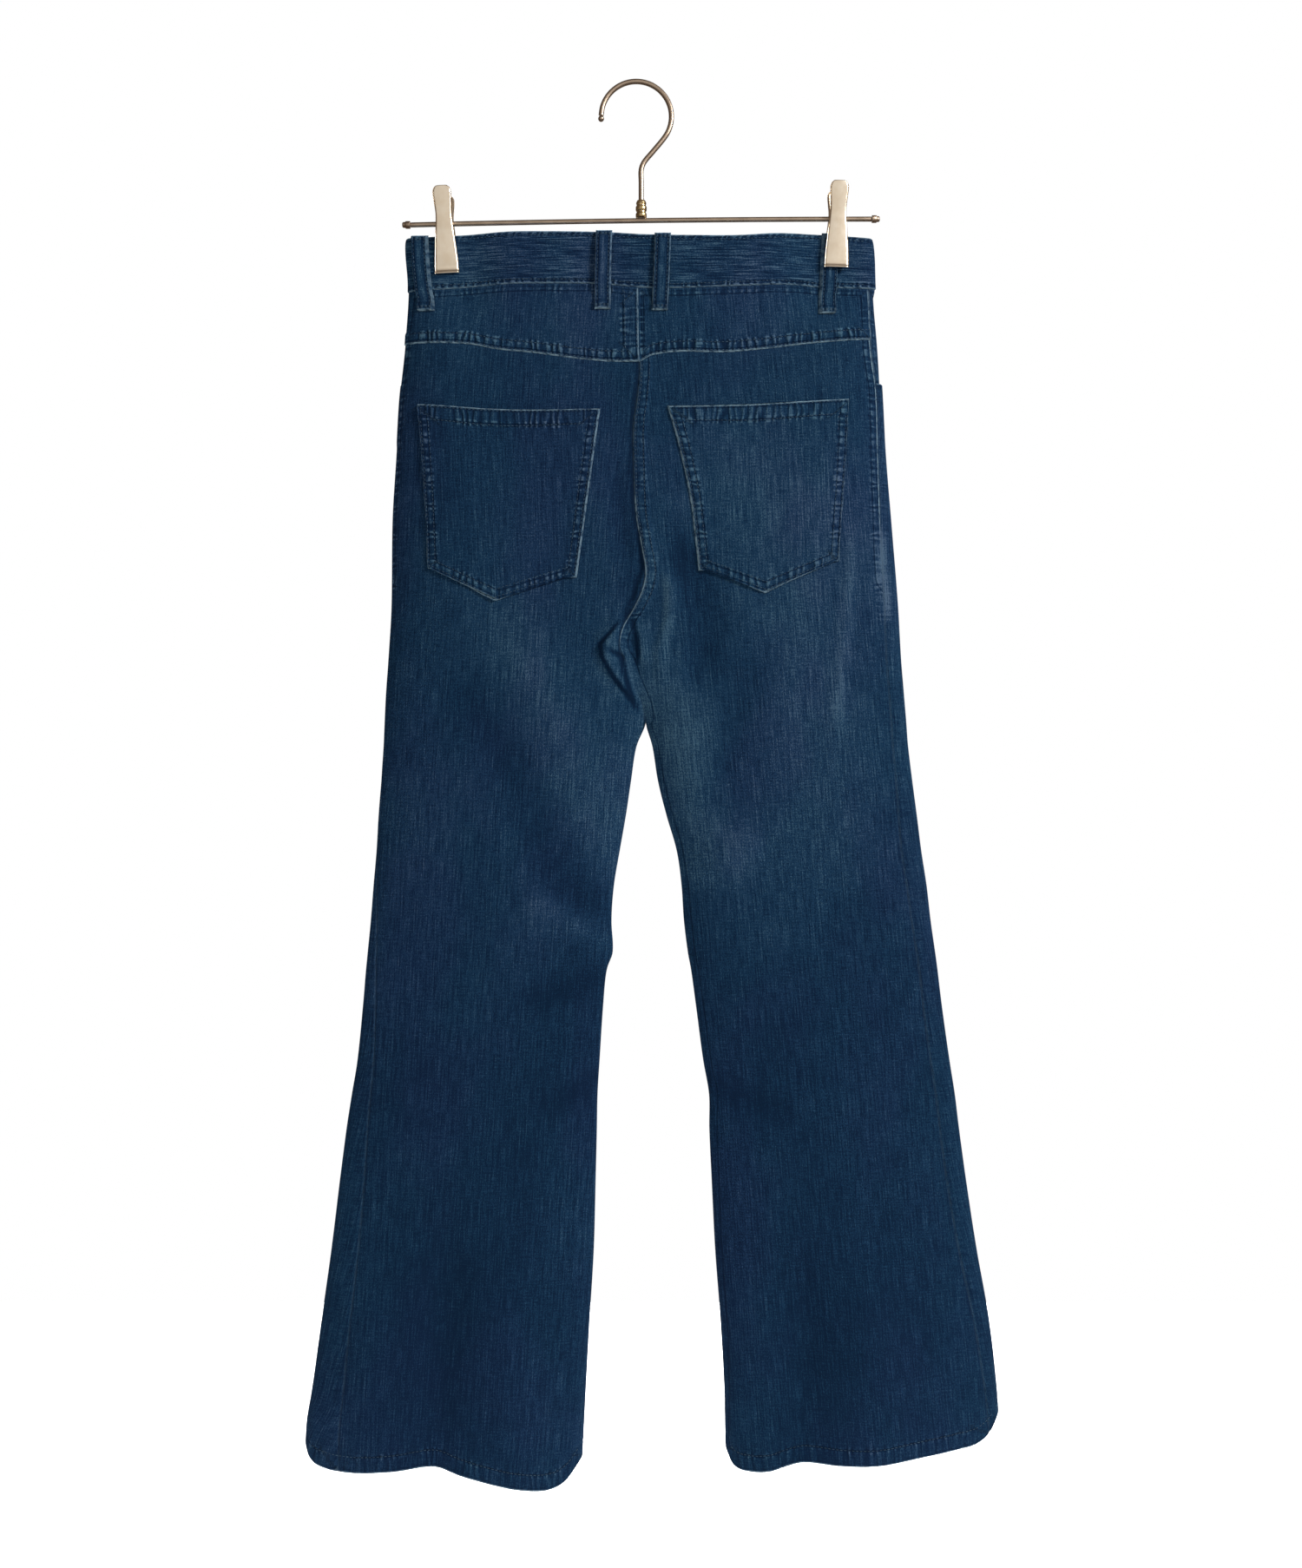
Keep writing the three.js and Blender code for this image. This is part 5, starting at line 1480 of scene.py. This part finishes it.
def smooth_path(points, steps):
    """A centripetal curve through points in one plane."""
    points = np.asarray(points, dtype=float)
    ends = (2 * points[0] - points[1], 2 * points[-1] - points[-2])
    wide = np.vstack((ends[0], points, ends[1]))
    path = []
    for p0, p1, p2, p3 in zip(wide[:-3], wide[1:-2], wide[2:-1], wide[3:]):
        gaps = [np.linalg.norm(b - a) ** 0.5 for a, b in ((p0, p1), (p1, p2), (p2, p3))]
        start = gaps[1] * ((p1 - p0) / gaps[0] - (p2 - p0) / (gaps[0] + gaps[1]) + (p2 - p1) / gaps[1])
        end = gaps[1] * ((p2 - p1) / gaps[1] - (p3 - p1) / (gaps[1] + gaps[2]) + (p3 - p2) / gaps[2])
        s = np.linspace(0, 1, steps, endpoint=False)[:, None]
        low, high = 2 * s**3 - 3 * s**2 + 1, 3 * s**2 - 2 * s**3
        path.append(p1 * low + p2 * high + start * (s**3 - 2 * s**2 + s) + end * (s**3 - s**2))
    return np.vstack(path + [points[-1:]])


def hook():
    centre_z = WIRE_RADIUS - HOOK_RADIUS
    angles = np.radians(np.linspace(*HOOK_ANGLES, 17))
    arc = [(HOOK_RADIUS * math.cos(a), 0, centre_z + HOOK_RADIUS * math.sin(a)) for a in angles]
    foot_x, foot_z = arc[-1][0], arc[-1][2]
    stem = [
        (mix(foot_x, STEM_X, 0.52), 0, mix(foot_z, STEM_TOP_Z, 0.47)),
        (mix(foot_x, STEM_X, 0.88), 0, mix(foot_z, STEM_TOP_Z, 0.8)),
        (STEM_X, 0, STEM_TOP_Z - 1 * MM),
        (STEM_X, 0, STEM_TOP_Z - 12 * MM),
        (STEM_X, 0, bar_z(STEM_X) + BAR_RADIUS + SEAM_GAP),
    ]
    path = smooth_path(arc + stem, 5)
    hand_over(wire("hook_wire", path, WIRE_RADIUS, CHAMPAGNE), "hanger_steel", "hook")
    tip = (arc[0][0], 0, arc[0][2] - BALL_RADIUS * MM - SEAM_GAP)
    around = np.linspace(-np.pi / 2 + 0.12, np.pi / 2 - 0.12, 14)
    ball = [(BALL_RADIUS * math.cos(a), BALL_RADIUS * math.sin(a)) for a in around]
    hand_over(turned("hook_ball_turned", ball, tip, UP, CHAMPAGNE), "hanger_steel", "hook_ball")


def ferrule():
    low = bar_z(STEM_X) + BAR_RADIUS + SEAM_GAP
    height = (FERRULE_TOP_Z - low) / MM
    bore = (WIRE_RADIUS + SEAM_GAP) / MM
    profile = [
        (bore, 0), (4.1, 0), (4.4, 0.03), (4.45, 0.19), (4.3, 0.23), (3.75, 0.27), (3.7, 0.36),
        (4.3, 0.40), (4.45, 0.44), (4.45, 0.60), (4.3, 0.64), (3.75, 0.68), (3.7, 0.76), (4.1, 0.80),
        (4.0, 0.88), (3.2, 0.99), (bore, 1.0),
    ]
    profile = [(radius, share * height) for radius, share in profile]
    piece = turned("ferrule_turned", profile, (STEM_X, 0, low), UP, BRASS, closed_ends=False)
    hand_over(piece, "hanger_steel", "ferrule")


def bar_cap(name, x, way):
    profile = [
        (0.6, 0), (2.8, 0), (3.0, 0.2), (3.0, 3.4), (2.85, 3.6), (2.35, 4.0), (2.3, 4.2), (2.3, 5.3),
        (2.1, 5.8), (1.6, 6.25), (0.9, 6.4),
    ]
    piece = turned(f"{name}_turned", profile, (x, 0, bar_z(x)), (way, 0, 0), CHAMPAGNE)
    hand_over(piece, "hanger_steel", name)


hanger_bar()
hook()
ferrule()
bar_cap("bar_cap_left", BAR_ENDS[0] - SEAM_GAP, -1)
bar_cap("bar_cap_right", BAR_ENDS[1] + SEAM_GAP, 1)
print("hanger pieces:", [piece.name for piece in pieces[-6:]])

# %% [markdown]
# Each clip is two pressed plates and a coiled spring on the bar. A plate's edges turn in beside
# the bar; its foot is a smooth lip. The tables are in the clip's own frame, whose origin lies on
# the bar, and each clip leans a little.

# %% Clips
CLIP_TOP, CLIP_FOOT = 27, -41
CLIP_LENGTH = CLIP_TOP - CLIP_FOOT
FACE_COLUMNS = 25
FLANGE_COLUMNS = 6
LIP_HEIGHT = 3.2
PLATE_THICKNESS = 1.2
PIVOT_OFFSET = 6.4
CLIPS = {
    # name: x in metres, lean in degrees, front grip and back grip in millimetres
    "left": (-154.2 * MM, 3.1, 3.2, 3.2),
    "right": (162.0 * MM, 1.9, 5.9, 3.2),
}


def clip_curve(rows):
    return table(["at", "value"], rows)


HALF_WIDTHS = clip_curve([
    [-41, 9.7], [-30, 9.3], [-14, 8.0], [-2, 6.9], [6, 6.4], [14, 6.9], [22, 7.4], [25, 6.6], [27, 4.2],
])
FLANGES = clip_curve([[-41, 0], [-10, 0], [-4, 3.4], [3, 3.6], [9, 3.2], [14, 1.4], [27, 0.6]])


def in_clip_frame(points, x, lean):
    turn = math.radians(lean) * math.copysign(1, x)
    local_x, local_z = points[..., 0], points[..., 2]
    along_x = local_x * math.cos(turn) + local_z * math.sin(turn)
    along_z = local_z * math.cos(turn) - local_x * math.sin(turn)
    return np.stack((x + along_x, points[..., 1], bar_z(x) + along_z), axis=-1)


def clip_plate(name, face, grip, x, lean):
    shares = edge_levels(CLIP_LENGTH * MM, 1.6 * MM, (0, 0.12, 0.35, 0.8, 1.6))[:, None]
    z = mix(CLIP_FOOT, CLIP_TOP, shares) * MM
    turning = np.linspace(0, 1, FLANGE_COLUMNS + 1)[1:]
    across = np.pad(np.linspace(-1, 1, FACE_COLUMNS), FLANGE_COLUMNS, mode="edge")
    turned_in = np.concatenate((turning[::-1], np.zeros(FACE_COLUMNS), turning))
    offsets = clip_curve([
        [-41, grip + 0.9], [-38, grip], [-26, grip + 0.2], [-10, mix(grip, PIVOT_OFFSET, 0.7)],
        [2, PIVOT_OFFSET], [14, PIVOT_OFFSET + 2.2], [27, PIVOT_OFFSET + 4.6],
    ])
    half = along(HALF_WIDTHS, "value", z)
    crown = 0.38 * MM * (1 - across**2)
    corner = 0.9 * MM * np.maximum(0, (np.abs(across) - 0.86) / 0.14) ** 2 * (turned_in == 0)
    flange = np.maximum(along(FLANGES, "value", z), 0) * turned_in
    stand = along(offsets, "value", z) + crown - corner - flange
    lip = 0.5 * MM * np.exp(-((shares * CLIP_LENGTH - LIP_HEIGHT) ** 2) / 0.8)
    edge = np.minimum(shares, 1 - shares) * CLIP_LENGTH
    soft = 0.3 * MM * (1 - round_rise(edge / 0.5))
    thickness = PLATE_THICKNESS * MM

    def skin(reach, height):
        local = np.stack(np.broadcast_arrays(across * reach, face * height, z), axis=-1)
        return in_clip_frame(local, x, lean)

    outside = skin(half - 0.2 * MM * turned_in, stand + thickness - lip - soft)
    inside = skin(half - thickness, stand + soft)
    uv = np.stack((outside[..., 0], outside[..., 2]), axis=-1)
    piece = cloth_shell(f"{name}_plate", outside, inside, uv, {}, (NICKEL, NICKEL))
    hand_over(piece, "clip_nickel", name)


SPRING_TURNS = 4
SPRING_PITCH = 2.1 * MM
SPRING_WIRE = 0.85 * MM
SPRING_REACH = 3.05 * MM


def clip_spring(name, x, lean):
    steps = np.linspace(0, SPRING_TURNS, SPRING_TURNS * 18 + 1)
    length = SPRING_TURNS * SPRING_PITCH - 2 * SPRING_WIRE
    around = 2 * np.pi * steps
    centre = np.stack((
        (steps / SPRING_TURNS - 0.5) * length, SPRING_REACH * np.cos(around), SPRING_REACH * np.sin(around),
    ), axis=-1)
    ahead = np.gradient(centre, axis=0)
    ahead /= np.linalg.norm(ahead, axis=1, keepdims=True)
    outward = centre * (0, 1, 1)
    outward /= np.linalg.norm(outward, axis=1, keepdims=True)
    side_way = np.cross(ahead, outward)
    angles = full_turn(10)[:, None]
    spokes = outward[:, None] * np.cos(angles) + side_way[:, None] * np.sin(angles)
    rings = in_clip_frame(centre[:, None] + SPRING_WIRE * spokes, x, lean)
    hand_over(skin_rings(f"{name}_coil", rings, CHAMPAGNE), "hanger_steel", name)


for name, (x, lean, front_grip, back_grip) in CLIPS.items():
    clip_plate(f"clip_{name}_front", -1, front_grip, x, lean)
    clip_plate(f"clip_{name}_back", 1, back_grip, x, lean)
    clip_spring(f"clip_{name}_spring", x, lean)
print("clip pieces:", [piece.name for piece in pieces[-6:]])

# %% [markdown]
# The button is a turned brass shank button on the waistband's lap.

# %% Button
BUTTON_X = CENTRE_FRONT_TOP_X + 11 * MM
button_z = mix(band_bottom(BUTTON_X, 1), band_top(BUTTON_X, 1), 0.52)
button_seat = placed(1, np.array([BUTTON_X]), np.array([button_z]), 3.8 * MM)[0]
button_profile = [
    (0.4, 0), (3.0, 0), (3.2, 0.2), (3.2, 0.9), (3.6, 1.05), (7.4, 1.3), (8.2, 1.5), (8.5, 1.9),
    (8.4, 2.4), (8.0, 2.75), (7.5, 2.95), (7.1, 2.98), (6.7, 2.85), (6.3, 2.6), (5.6, 2.5), (3.6, 2.52),
    (3.2, 2.75), (2.6, 2.9), (1.8, 2.8), (0.9, 2.6), (0.3, 2.55),
]
button = turned("button_turned", button_profile, button_seat, (0, 1, 0), BRASS, around=48)
hand_over(button, "button", "button")
print("button at", np.round(button_seat, 4))

# %% [markdown]
# Thousands of stitches come from one Geometry Nodes tree. It turns guide lines into curves,
# spaces points along them and sets a short rod of thread on each, laid along the line. The tree
# takes its pitch, thread and finish as named inputs, and the same builder with a small block
# for the shape makes a second tree that sets the zip's teeth.

# %% A tree that repeats a shape along lines
REPEATER_INPUTS = {
    "Geometry": "Geometry", "Pitch": "Float", "Width": "Float", "Thickness": "Float",
    "Length": "Float", "Unevenness": "Float", "Seed": "Int", "Finish": "Material",
}


def repeater_tree(name, shape_kind, shape_sockets):
    tree = bpy.data.node_groups.new(name, "GeometryNodeTree")
    wiring = Wiring(tree)
    for label, kind in REPEATER_INPUTS.items():
        tree.interface.new_socket(label, in_out="INPUT", socket_type=f"NodeSocket{kind}")
    tree.interface.new_socket("Geometry", in_out="OUTPUT", socket_type="NodeSocketGeometry")
    given = wiring.add("NodeGroupInput").outputs
    lines = wiring.add("GeometryNodeMeshToCurve", {"Mesh": given["Geometry"]}).outputs[0]
    resample = {"Curve": lines, "Length": given["Pitch"]}
    resample = wiring.add("GeometryNodeResampleCurve", resample, mode="LENGTH")
    tangent = wiring.add("GeometryNodeInputTangent").outputs[0]
    turn = wiring.add("FunctionNodeAlignRotationToVector", {"Vector": tangent}, axis="Z")
    size = {0: given["Width"], 1: given["Thickness"], 2: given["Length"]}
    size = wiring.add("ShaderNodeCombineXYZ", size).outputs[0]
    jitter = {2: wiring.math("SUBTRACT", 1.0, given["Unevenness"]), 3: 1.0, "Seed": given["Seed"]}
    jitter = wiring.add("FunctionNodeRandomValue", jitter, data_type="FLOAT").outputs[1]
    scale = wiring.add("ShaderNodeVectorMath", {0: size, "Scale": jitter}, operation="SCALE")
    shape = wiring.add(shape_kind, shape_sockets).outputs[0]
    placed_shapes = wiring.add("GeometryNodeInstanceOnPoints", {
        "Points": resample.outputs[0], "Instance": shape,
        "Rotation": turn.outputs[0], "Scale": scale.outputs[0],
    })
    real = wiring.add("GeometryNodeRealizeInstances", {0: placed_shapes.outputs[0]}).outputs[0]
    dressed = wiring.add("GeometryNodeSetMaterial", {"Geometry": real, "Material": given["Finish"]})
    wiring.add("NodeGroupOutput", {0: dressed.outputs[0]})
    return tree


def repeat_along(name, lines, tree, **values):
    """Runs a repeater tree on guide lines and keeps its result as a plain mesh."""
    points = np.concatenate(lines)
    ends = set(np.cumsum([len(line) for line in lines]).tolist())
    edges = [(i, i + 1) for i in range(len(points) - 1) if i + 1 not in ends]
    guide = bpy.data.meshes.new(name + "_guide")
    guide.from_pydata(points.tolist(), edges, [])
    piece = add_object(name, guide)
    modifier = piece.modifiers.new(tree.name, "NODES")
    modifier.node_group = tree
    for item in tree.interface.items_tree:
        if item.in_out == "INPUT" and item.name in values:
            modifier[item.identifier] = values[item.name]
    made = bpy.data.meshes.new_from_object(piece.evaluated_get(bpy.context.evaluated_depsgraph_get()))
    piece.modifiers.clear()
    piece.data = made
    made.name = name
    bpy.data.meshes.remove(guide)
    made.polygons.foreach_set("use_smooth", np.ones(len(made.polygons), dtype=bool))
    print(f"{name}: {len(lines)} lines, {len(made.polygons)} faces")
    return piece


STITCH_SHAPE = {"Segments": 6, "Rings": 4, "Radius": 1.0}
STITCH_TREE = repeater_tree("stitches along lines", "GeometryNodeMeshUVSphere", STITCH_SHAPE)
TOOTH_TREE = repeater_tree("teeth along lines", "GeometryNodeMeshCube", {"Size": (2.0, 2.0, 2.0)})

# %% [markdown]
# Each stitch row is a guide line found on the garment's surface, a fixed distance from the edge
# it holds. The thread is navy like the cloth and only a little paler, as on the photographed
# pair, so the rows read as texture.

# %% Stitch rows
def thread_finish():
    material, wiring = new_material("navy sewing thread")
    place = wiring.object_place()
    shade = wiring.noise(place, (140, 140, 140), 2.0, flat=False)
    tone = wiring.blend(wiring.step(shade, 0.3, 0.7), (0.009, 0.028, 0.058, 1), (0.028, 0.064, 0.105, 1))
    wiring.finish({"Base Color": tone, "Roughness": 0.6, "Specular IOR Level": 0.3})
    return material


THREAD = thread_finish()
STITCH_PITCH = 3.1 * MM
INNER_ROW = 8.0 * MM
THREAD_LIFT = 0.1 * MM
LINE_STEP = 2 * MM
YOKE_TOP_Z = -171 * MM
YOKE_FOOT_Z = -222 * MM
SEAT_ROW_Z = (-231 * MM, -425 * MM)
BAND_STRETCHES = ((-1, -0.176, 0.181), (1, -0.176, 0.001), (1, 0.028, 0.181))
TACK_HALF_WIDTH = 4.8 * MM
HEM_ROW_Z = -1090 * MM
INSEAM_ROW_Z = (-1085 * MM, -560 * MM)
MOUTH_ROW_END = 176 * MM
FLY_ROW_Z = (-188 * MM, -262 * MM)
FLY_ROW_REACHES = (32 * MM, 38 * MM)


def line_on(face, x, z, out):
    x, z = np.broadcast_arrays(np.asarray(x, dtype=float), np.asarray(z, dtype=float))
    return placed(face, x, z, out + THREAD_LIFT)


def spaced(start, end):
    return np.linspace(start, end, max(3, int(abs(end - start) / LINE_STEP)))


def pocket_rows(side):
    shape = POCKET_SHAPES[side]
    lift = SKIN_GAP + POCKET_CLOTH + 0.2 * MM
    rows = []
    for row in (EDGE_ROW, POCKET_ROW):
        across, down = row / POCKET_WIDTH, row / (POCKET_HEIGHT * FOOT_SLANT)
        fall = np.linspace(0.015, 1 - down, 62)
        foot = np.linspace(across, 1 - across, 56)
        path_across = np.concatenate((across + 0 * fall, foot[1:], 1 - across + 0 * fall[1:]))
        path_down = np.concatenate((fall, 1 - down + 0 * foot[1:], fall[::-1][1:]))
        x, z = pocket_point(shape, path_across, path_down)
        rows.append(line_on(-1, x, z, lift))
    for drop in (1.8 * MM, POCKET_HEM):
        x, z = pocket_point(shape, np.linspace(0.015, 0.985, 64), drop / POCKET_HEIGHT)
        rows.append(line_on(-1, x, z, lift + 0.3 * MM))
    return rows


def yoke_rows():
    rows = []
    for side, sign in SIDES.items():
        far = along(OUTLINE, side + "_outer", YOKE_FOOT_Z) - sign * 11 * MM
        x = spaced((3 + sign * 2) * MM, far)
        for row in (1.8 * MM, YOKE_ROW):
            z = along(YOKE_SEAM[side], "z", x) + row
            rows.append(line_on(-1, x, z, LAP))
    z = spaced(YOKE_FOOT_Z, YOKE_TOP_Z)
    centre = along(CENTRE_BACK, "x", z)
    for row in (1.6 * MM, FELL_WIDTH - 1.8 * MM):
        rows.append(line_on(-1, centre - row, z, 0.75 * MM))
    z = spaced(*SEAT_ROW_Z)
    centre = along(CENTRE_BACK, "x", z)
    for row in (2.0 * MM, INNER_ROW):
        rows.append(line_on(-1, centre + row, z, LAP))
    return rows


def band_rows():
    rows = []
    for face, start, end in BAND_STRETCHES:
        x = spaced(start, end)
        on_lap = np.clip(1 + (x - 4 * MM) * 60, 0, 1) * ((face > 0) & (x < 30 * MM))
        lift = BAND_PROUD + BAND_LAP_OUT * on_lap + 0.05 * MM
        rows.append(line_on(face, x, band_bottom(x, face) + BAND_ROW, lift))
        rows.append(line_on(face, x, band_top(x, face) - BAND_ROW, lift))
    return rows


def loop_rows():
    rows = []
    for face, *sizes in BELT_LOOPS.values():
        top_x, foot_x, foot_z, bulge = (size * MM for size in sizes)
        top_z = float(band_top(top_x, face)) + LOOP_TOP_RISE
        length = top_z - foot_z

        def row_at(down, offset, extra=0.0):
            z = mix(top_z, foot_z, down)
            x = mix(top_x, foot_x, down) + offset
            base = loop_lift(face, x, z, down, bulge)
            return line_on(face, x, z, base + LOOP_CLOTH - 0.25 * MM + extra)

        for offset in (-LOOP_ROW, LOOP_ROW):
            down = np.linspace(0.04, 0.97, 26)
            rows.append(row_at(down, offset + 0 * down))
        tack = np.linspace(-TACK_HALF_WIDTH, TACK_HALF_WIDTH, 9)
        for drop in np.arange(2.2, 4.4, 0.55) * MM:
            rows.append(row_at(1 - drop / length + 0 * tack, tack, 0.6 * MM))
            rows.append(row_at(drop / length + 0 * tack, tack, 0.2 * MM))
    return rows


def panel_rows():
    rows = []
    for side, sign in SIDES.items():
        for face in (-1, 1):
            start = inner_x(side, face, HEM_ROW_Z) + sign * 5 * MM
            end = along(OUTLINE, side + "_outer", HEM_ROW_Z) - sign * 8 * MM
            x = spaced(float(start), float(end))
            rows.append(line_on(face, x, along(HEM[side], "z", x) + HEM_HEIGHT, -0.15 * MM))
        z = spaced(*INSEAM_ROW_Z)
        for row in (2.0 * MM, INNER_ROW):
            inseam = along(OUTLINE, side + "_inner", z) + sign * row
            rows.append(line_on(1, inseam, z, 0.05 * MM))
        x = CENTRE_FRONT_TOP_X + sign * spaced(MOUTH_X + 2 * MM, MOUTH_ROW_END)
        for row in (EDGE_ROW, INNER_ROW):
            rows.append(line_on(1, x, mouth_z(x, 1) - row, 0.0))
    turn = np.linspace(0, np.pi / 2, 24)[1:]
    straight = spaced(*FLY_ROW_Z)
    for reach in FLY_ROW_REACHES:
        x = CENTRE_FRONT_TOP_X - reach * np.concatenate((np.ones(len(straight)), np.cos(turn)))
        z = np.concatenate((straight, FLY_ROW_Z[1] - reach * np.sin(turn)))
        rows.append(line_on(1, x, z, 0.05 * MM))
    return rows


def sew(name, lines, seed):
    piece = repeat_along(
        name, lines, STITCH_TREE, Pitch=STITCH_PITCH, Width=0.34 * MM, Thickness=0.34 * MM,
        Length=1.2 * MM, Unevenness=0.16, Seed=seed, Finish=THREAD,
    )
    hand_over(piece, "denim")


sew("pocket_stitches", pocket_rows("left") + pocket_rows("right"), 11)
sew("yoke_stitches", yoke_rows(), 12)
sew("waist_stitches", band_rows() + loop_rows(), 13)
sew("panel_stitches", panel_rows(), 14)

# %% [markdown]
# The zip's teeth are small brass blocks in two rows that mesh, with a slider at the top. They
# lie between the lapped fronts and the tape.

# %% Zip teeth and slider
TOOTH_PITCH = 2.1 * MM
TEETH_DEPTH = 1.85 * MM
TOOTH_OFFSET = 0.9 * MM
SLIDER_REACH = np.array((4.0, 0.0, 5.0)) * MM
SLIDER_RINGS = (
    (0.86, -0.42), (0.97, -0.38), (1.0, -0.25), (1.0, 0.25), (0.97, 0.38), (0.86, 0.42),
)


def zip_lines():
    top_z = float(band_bottom(CENTRE_FRONT_TOP_X, 1)) - 7 * MM
    lines = []
    for way, shift in ((-1, 0), (1, TOOTH_PITCH / 2)):
        z = np.arange(ZIP_FOOT_Z + 4 * MM + shift, top_z, LINE_STEP)
        lines.append(placed(1, centre_front_x(z) + way * TOOTH_OFFSET, z, -TEETH_DEPTH))
    return lines


def slider():
    centre = zip_lines()[0][-1] + (TOOTH_OFFSET, 0, 3 * MM)
    angles = full_turn(32)
    ways = np.stack((np.cos(angles), 0 * angles, np.sin(angles)), axis=-1)
    outline = np.sign(ways) * np.abs(ways) ** 0.6 * SLIDER_REACH
    rings = [centre + outline * scale + (0, depth * MM, 0) for scale, depth in SLIDER_RINGS]
    return skin_rings("zip_slider", rings, BRASS)


teeth = repeat_along(
    "zip_teeth", zip_lines(), TOOTH_TREE, Pitch=TOOTH_PITCH, Width=1.25 * MM, Thickness=0.35 * MM,
    Length=0.5 * MM, Unevenness=0.0, Seed=15, Finish=BRASS,
)
hand_over(teeth, "zip")
hand_over(slider(), "zip")

# %% [markdown]
# At the end the script prints how many pieces it made and how many faces they have.

# %% Count of pieces and faces
print("pieces", len(pieces), "faces", sum(len(piece.data.polygons) for piece in pieces))
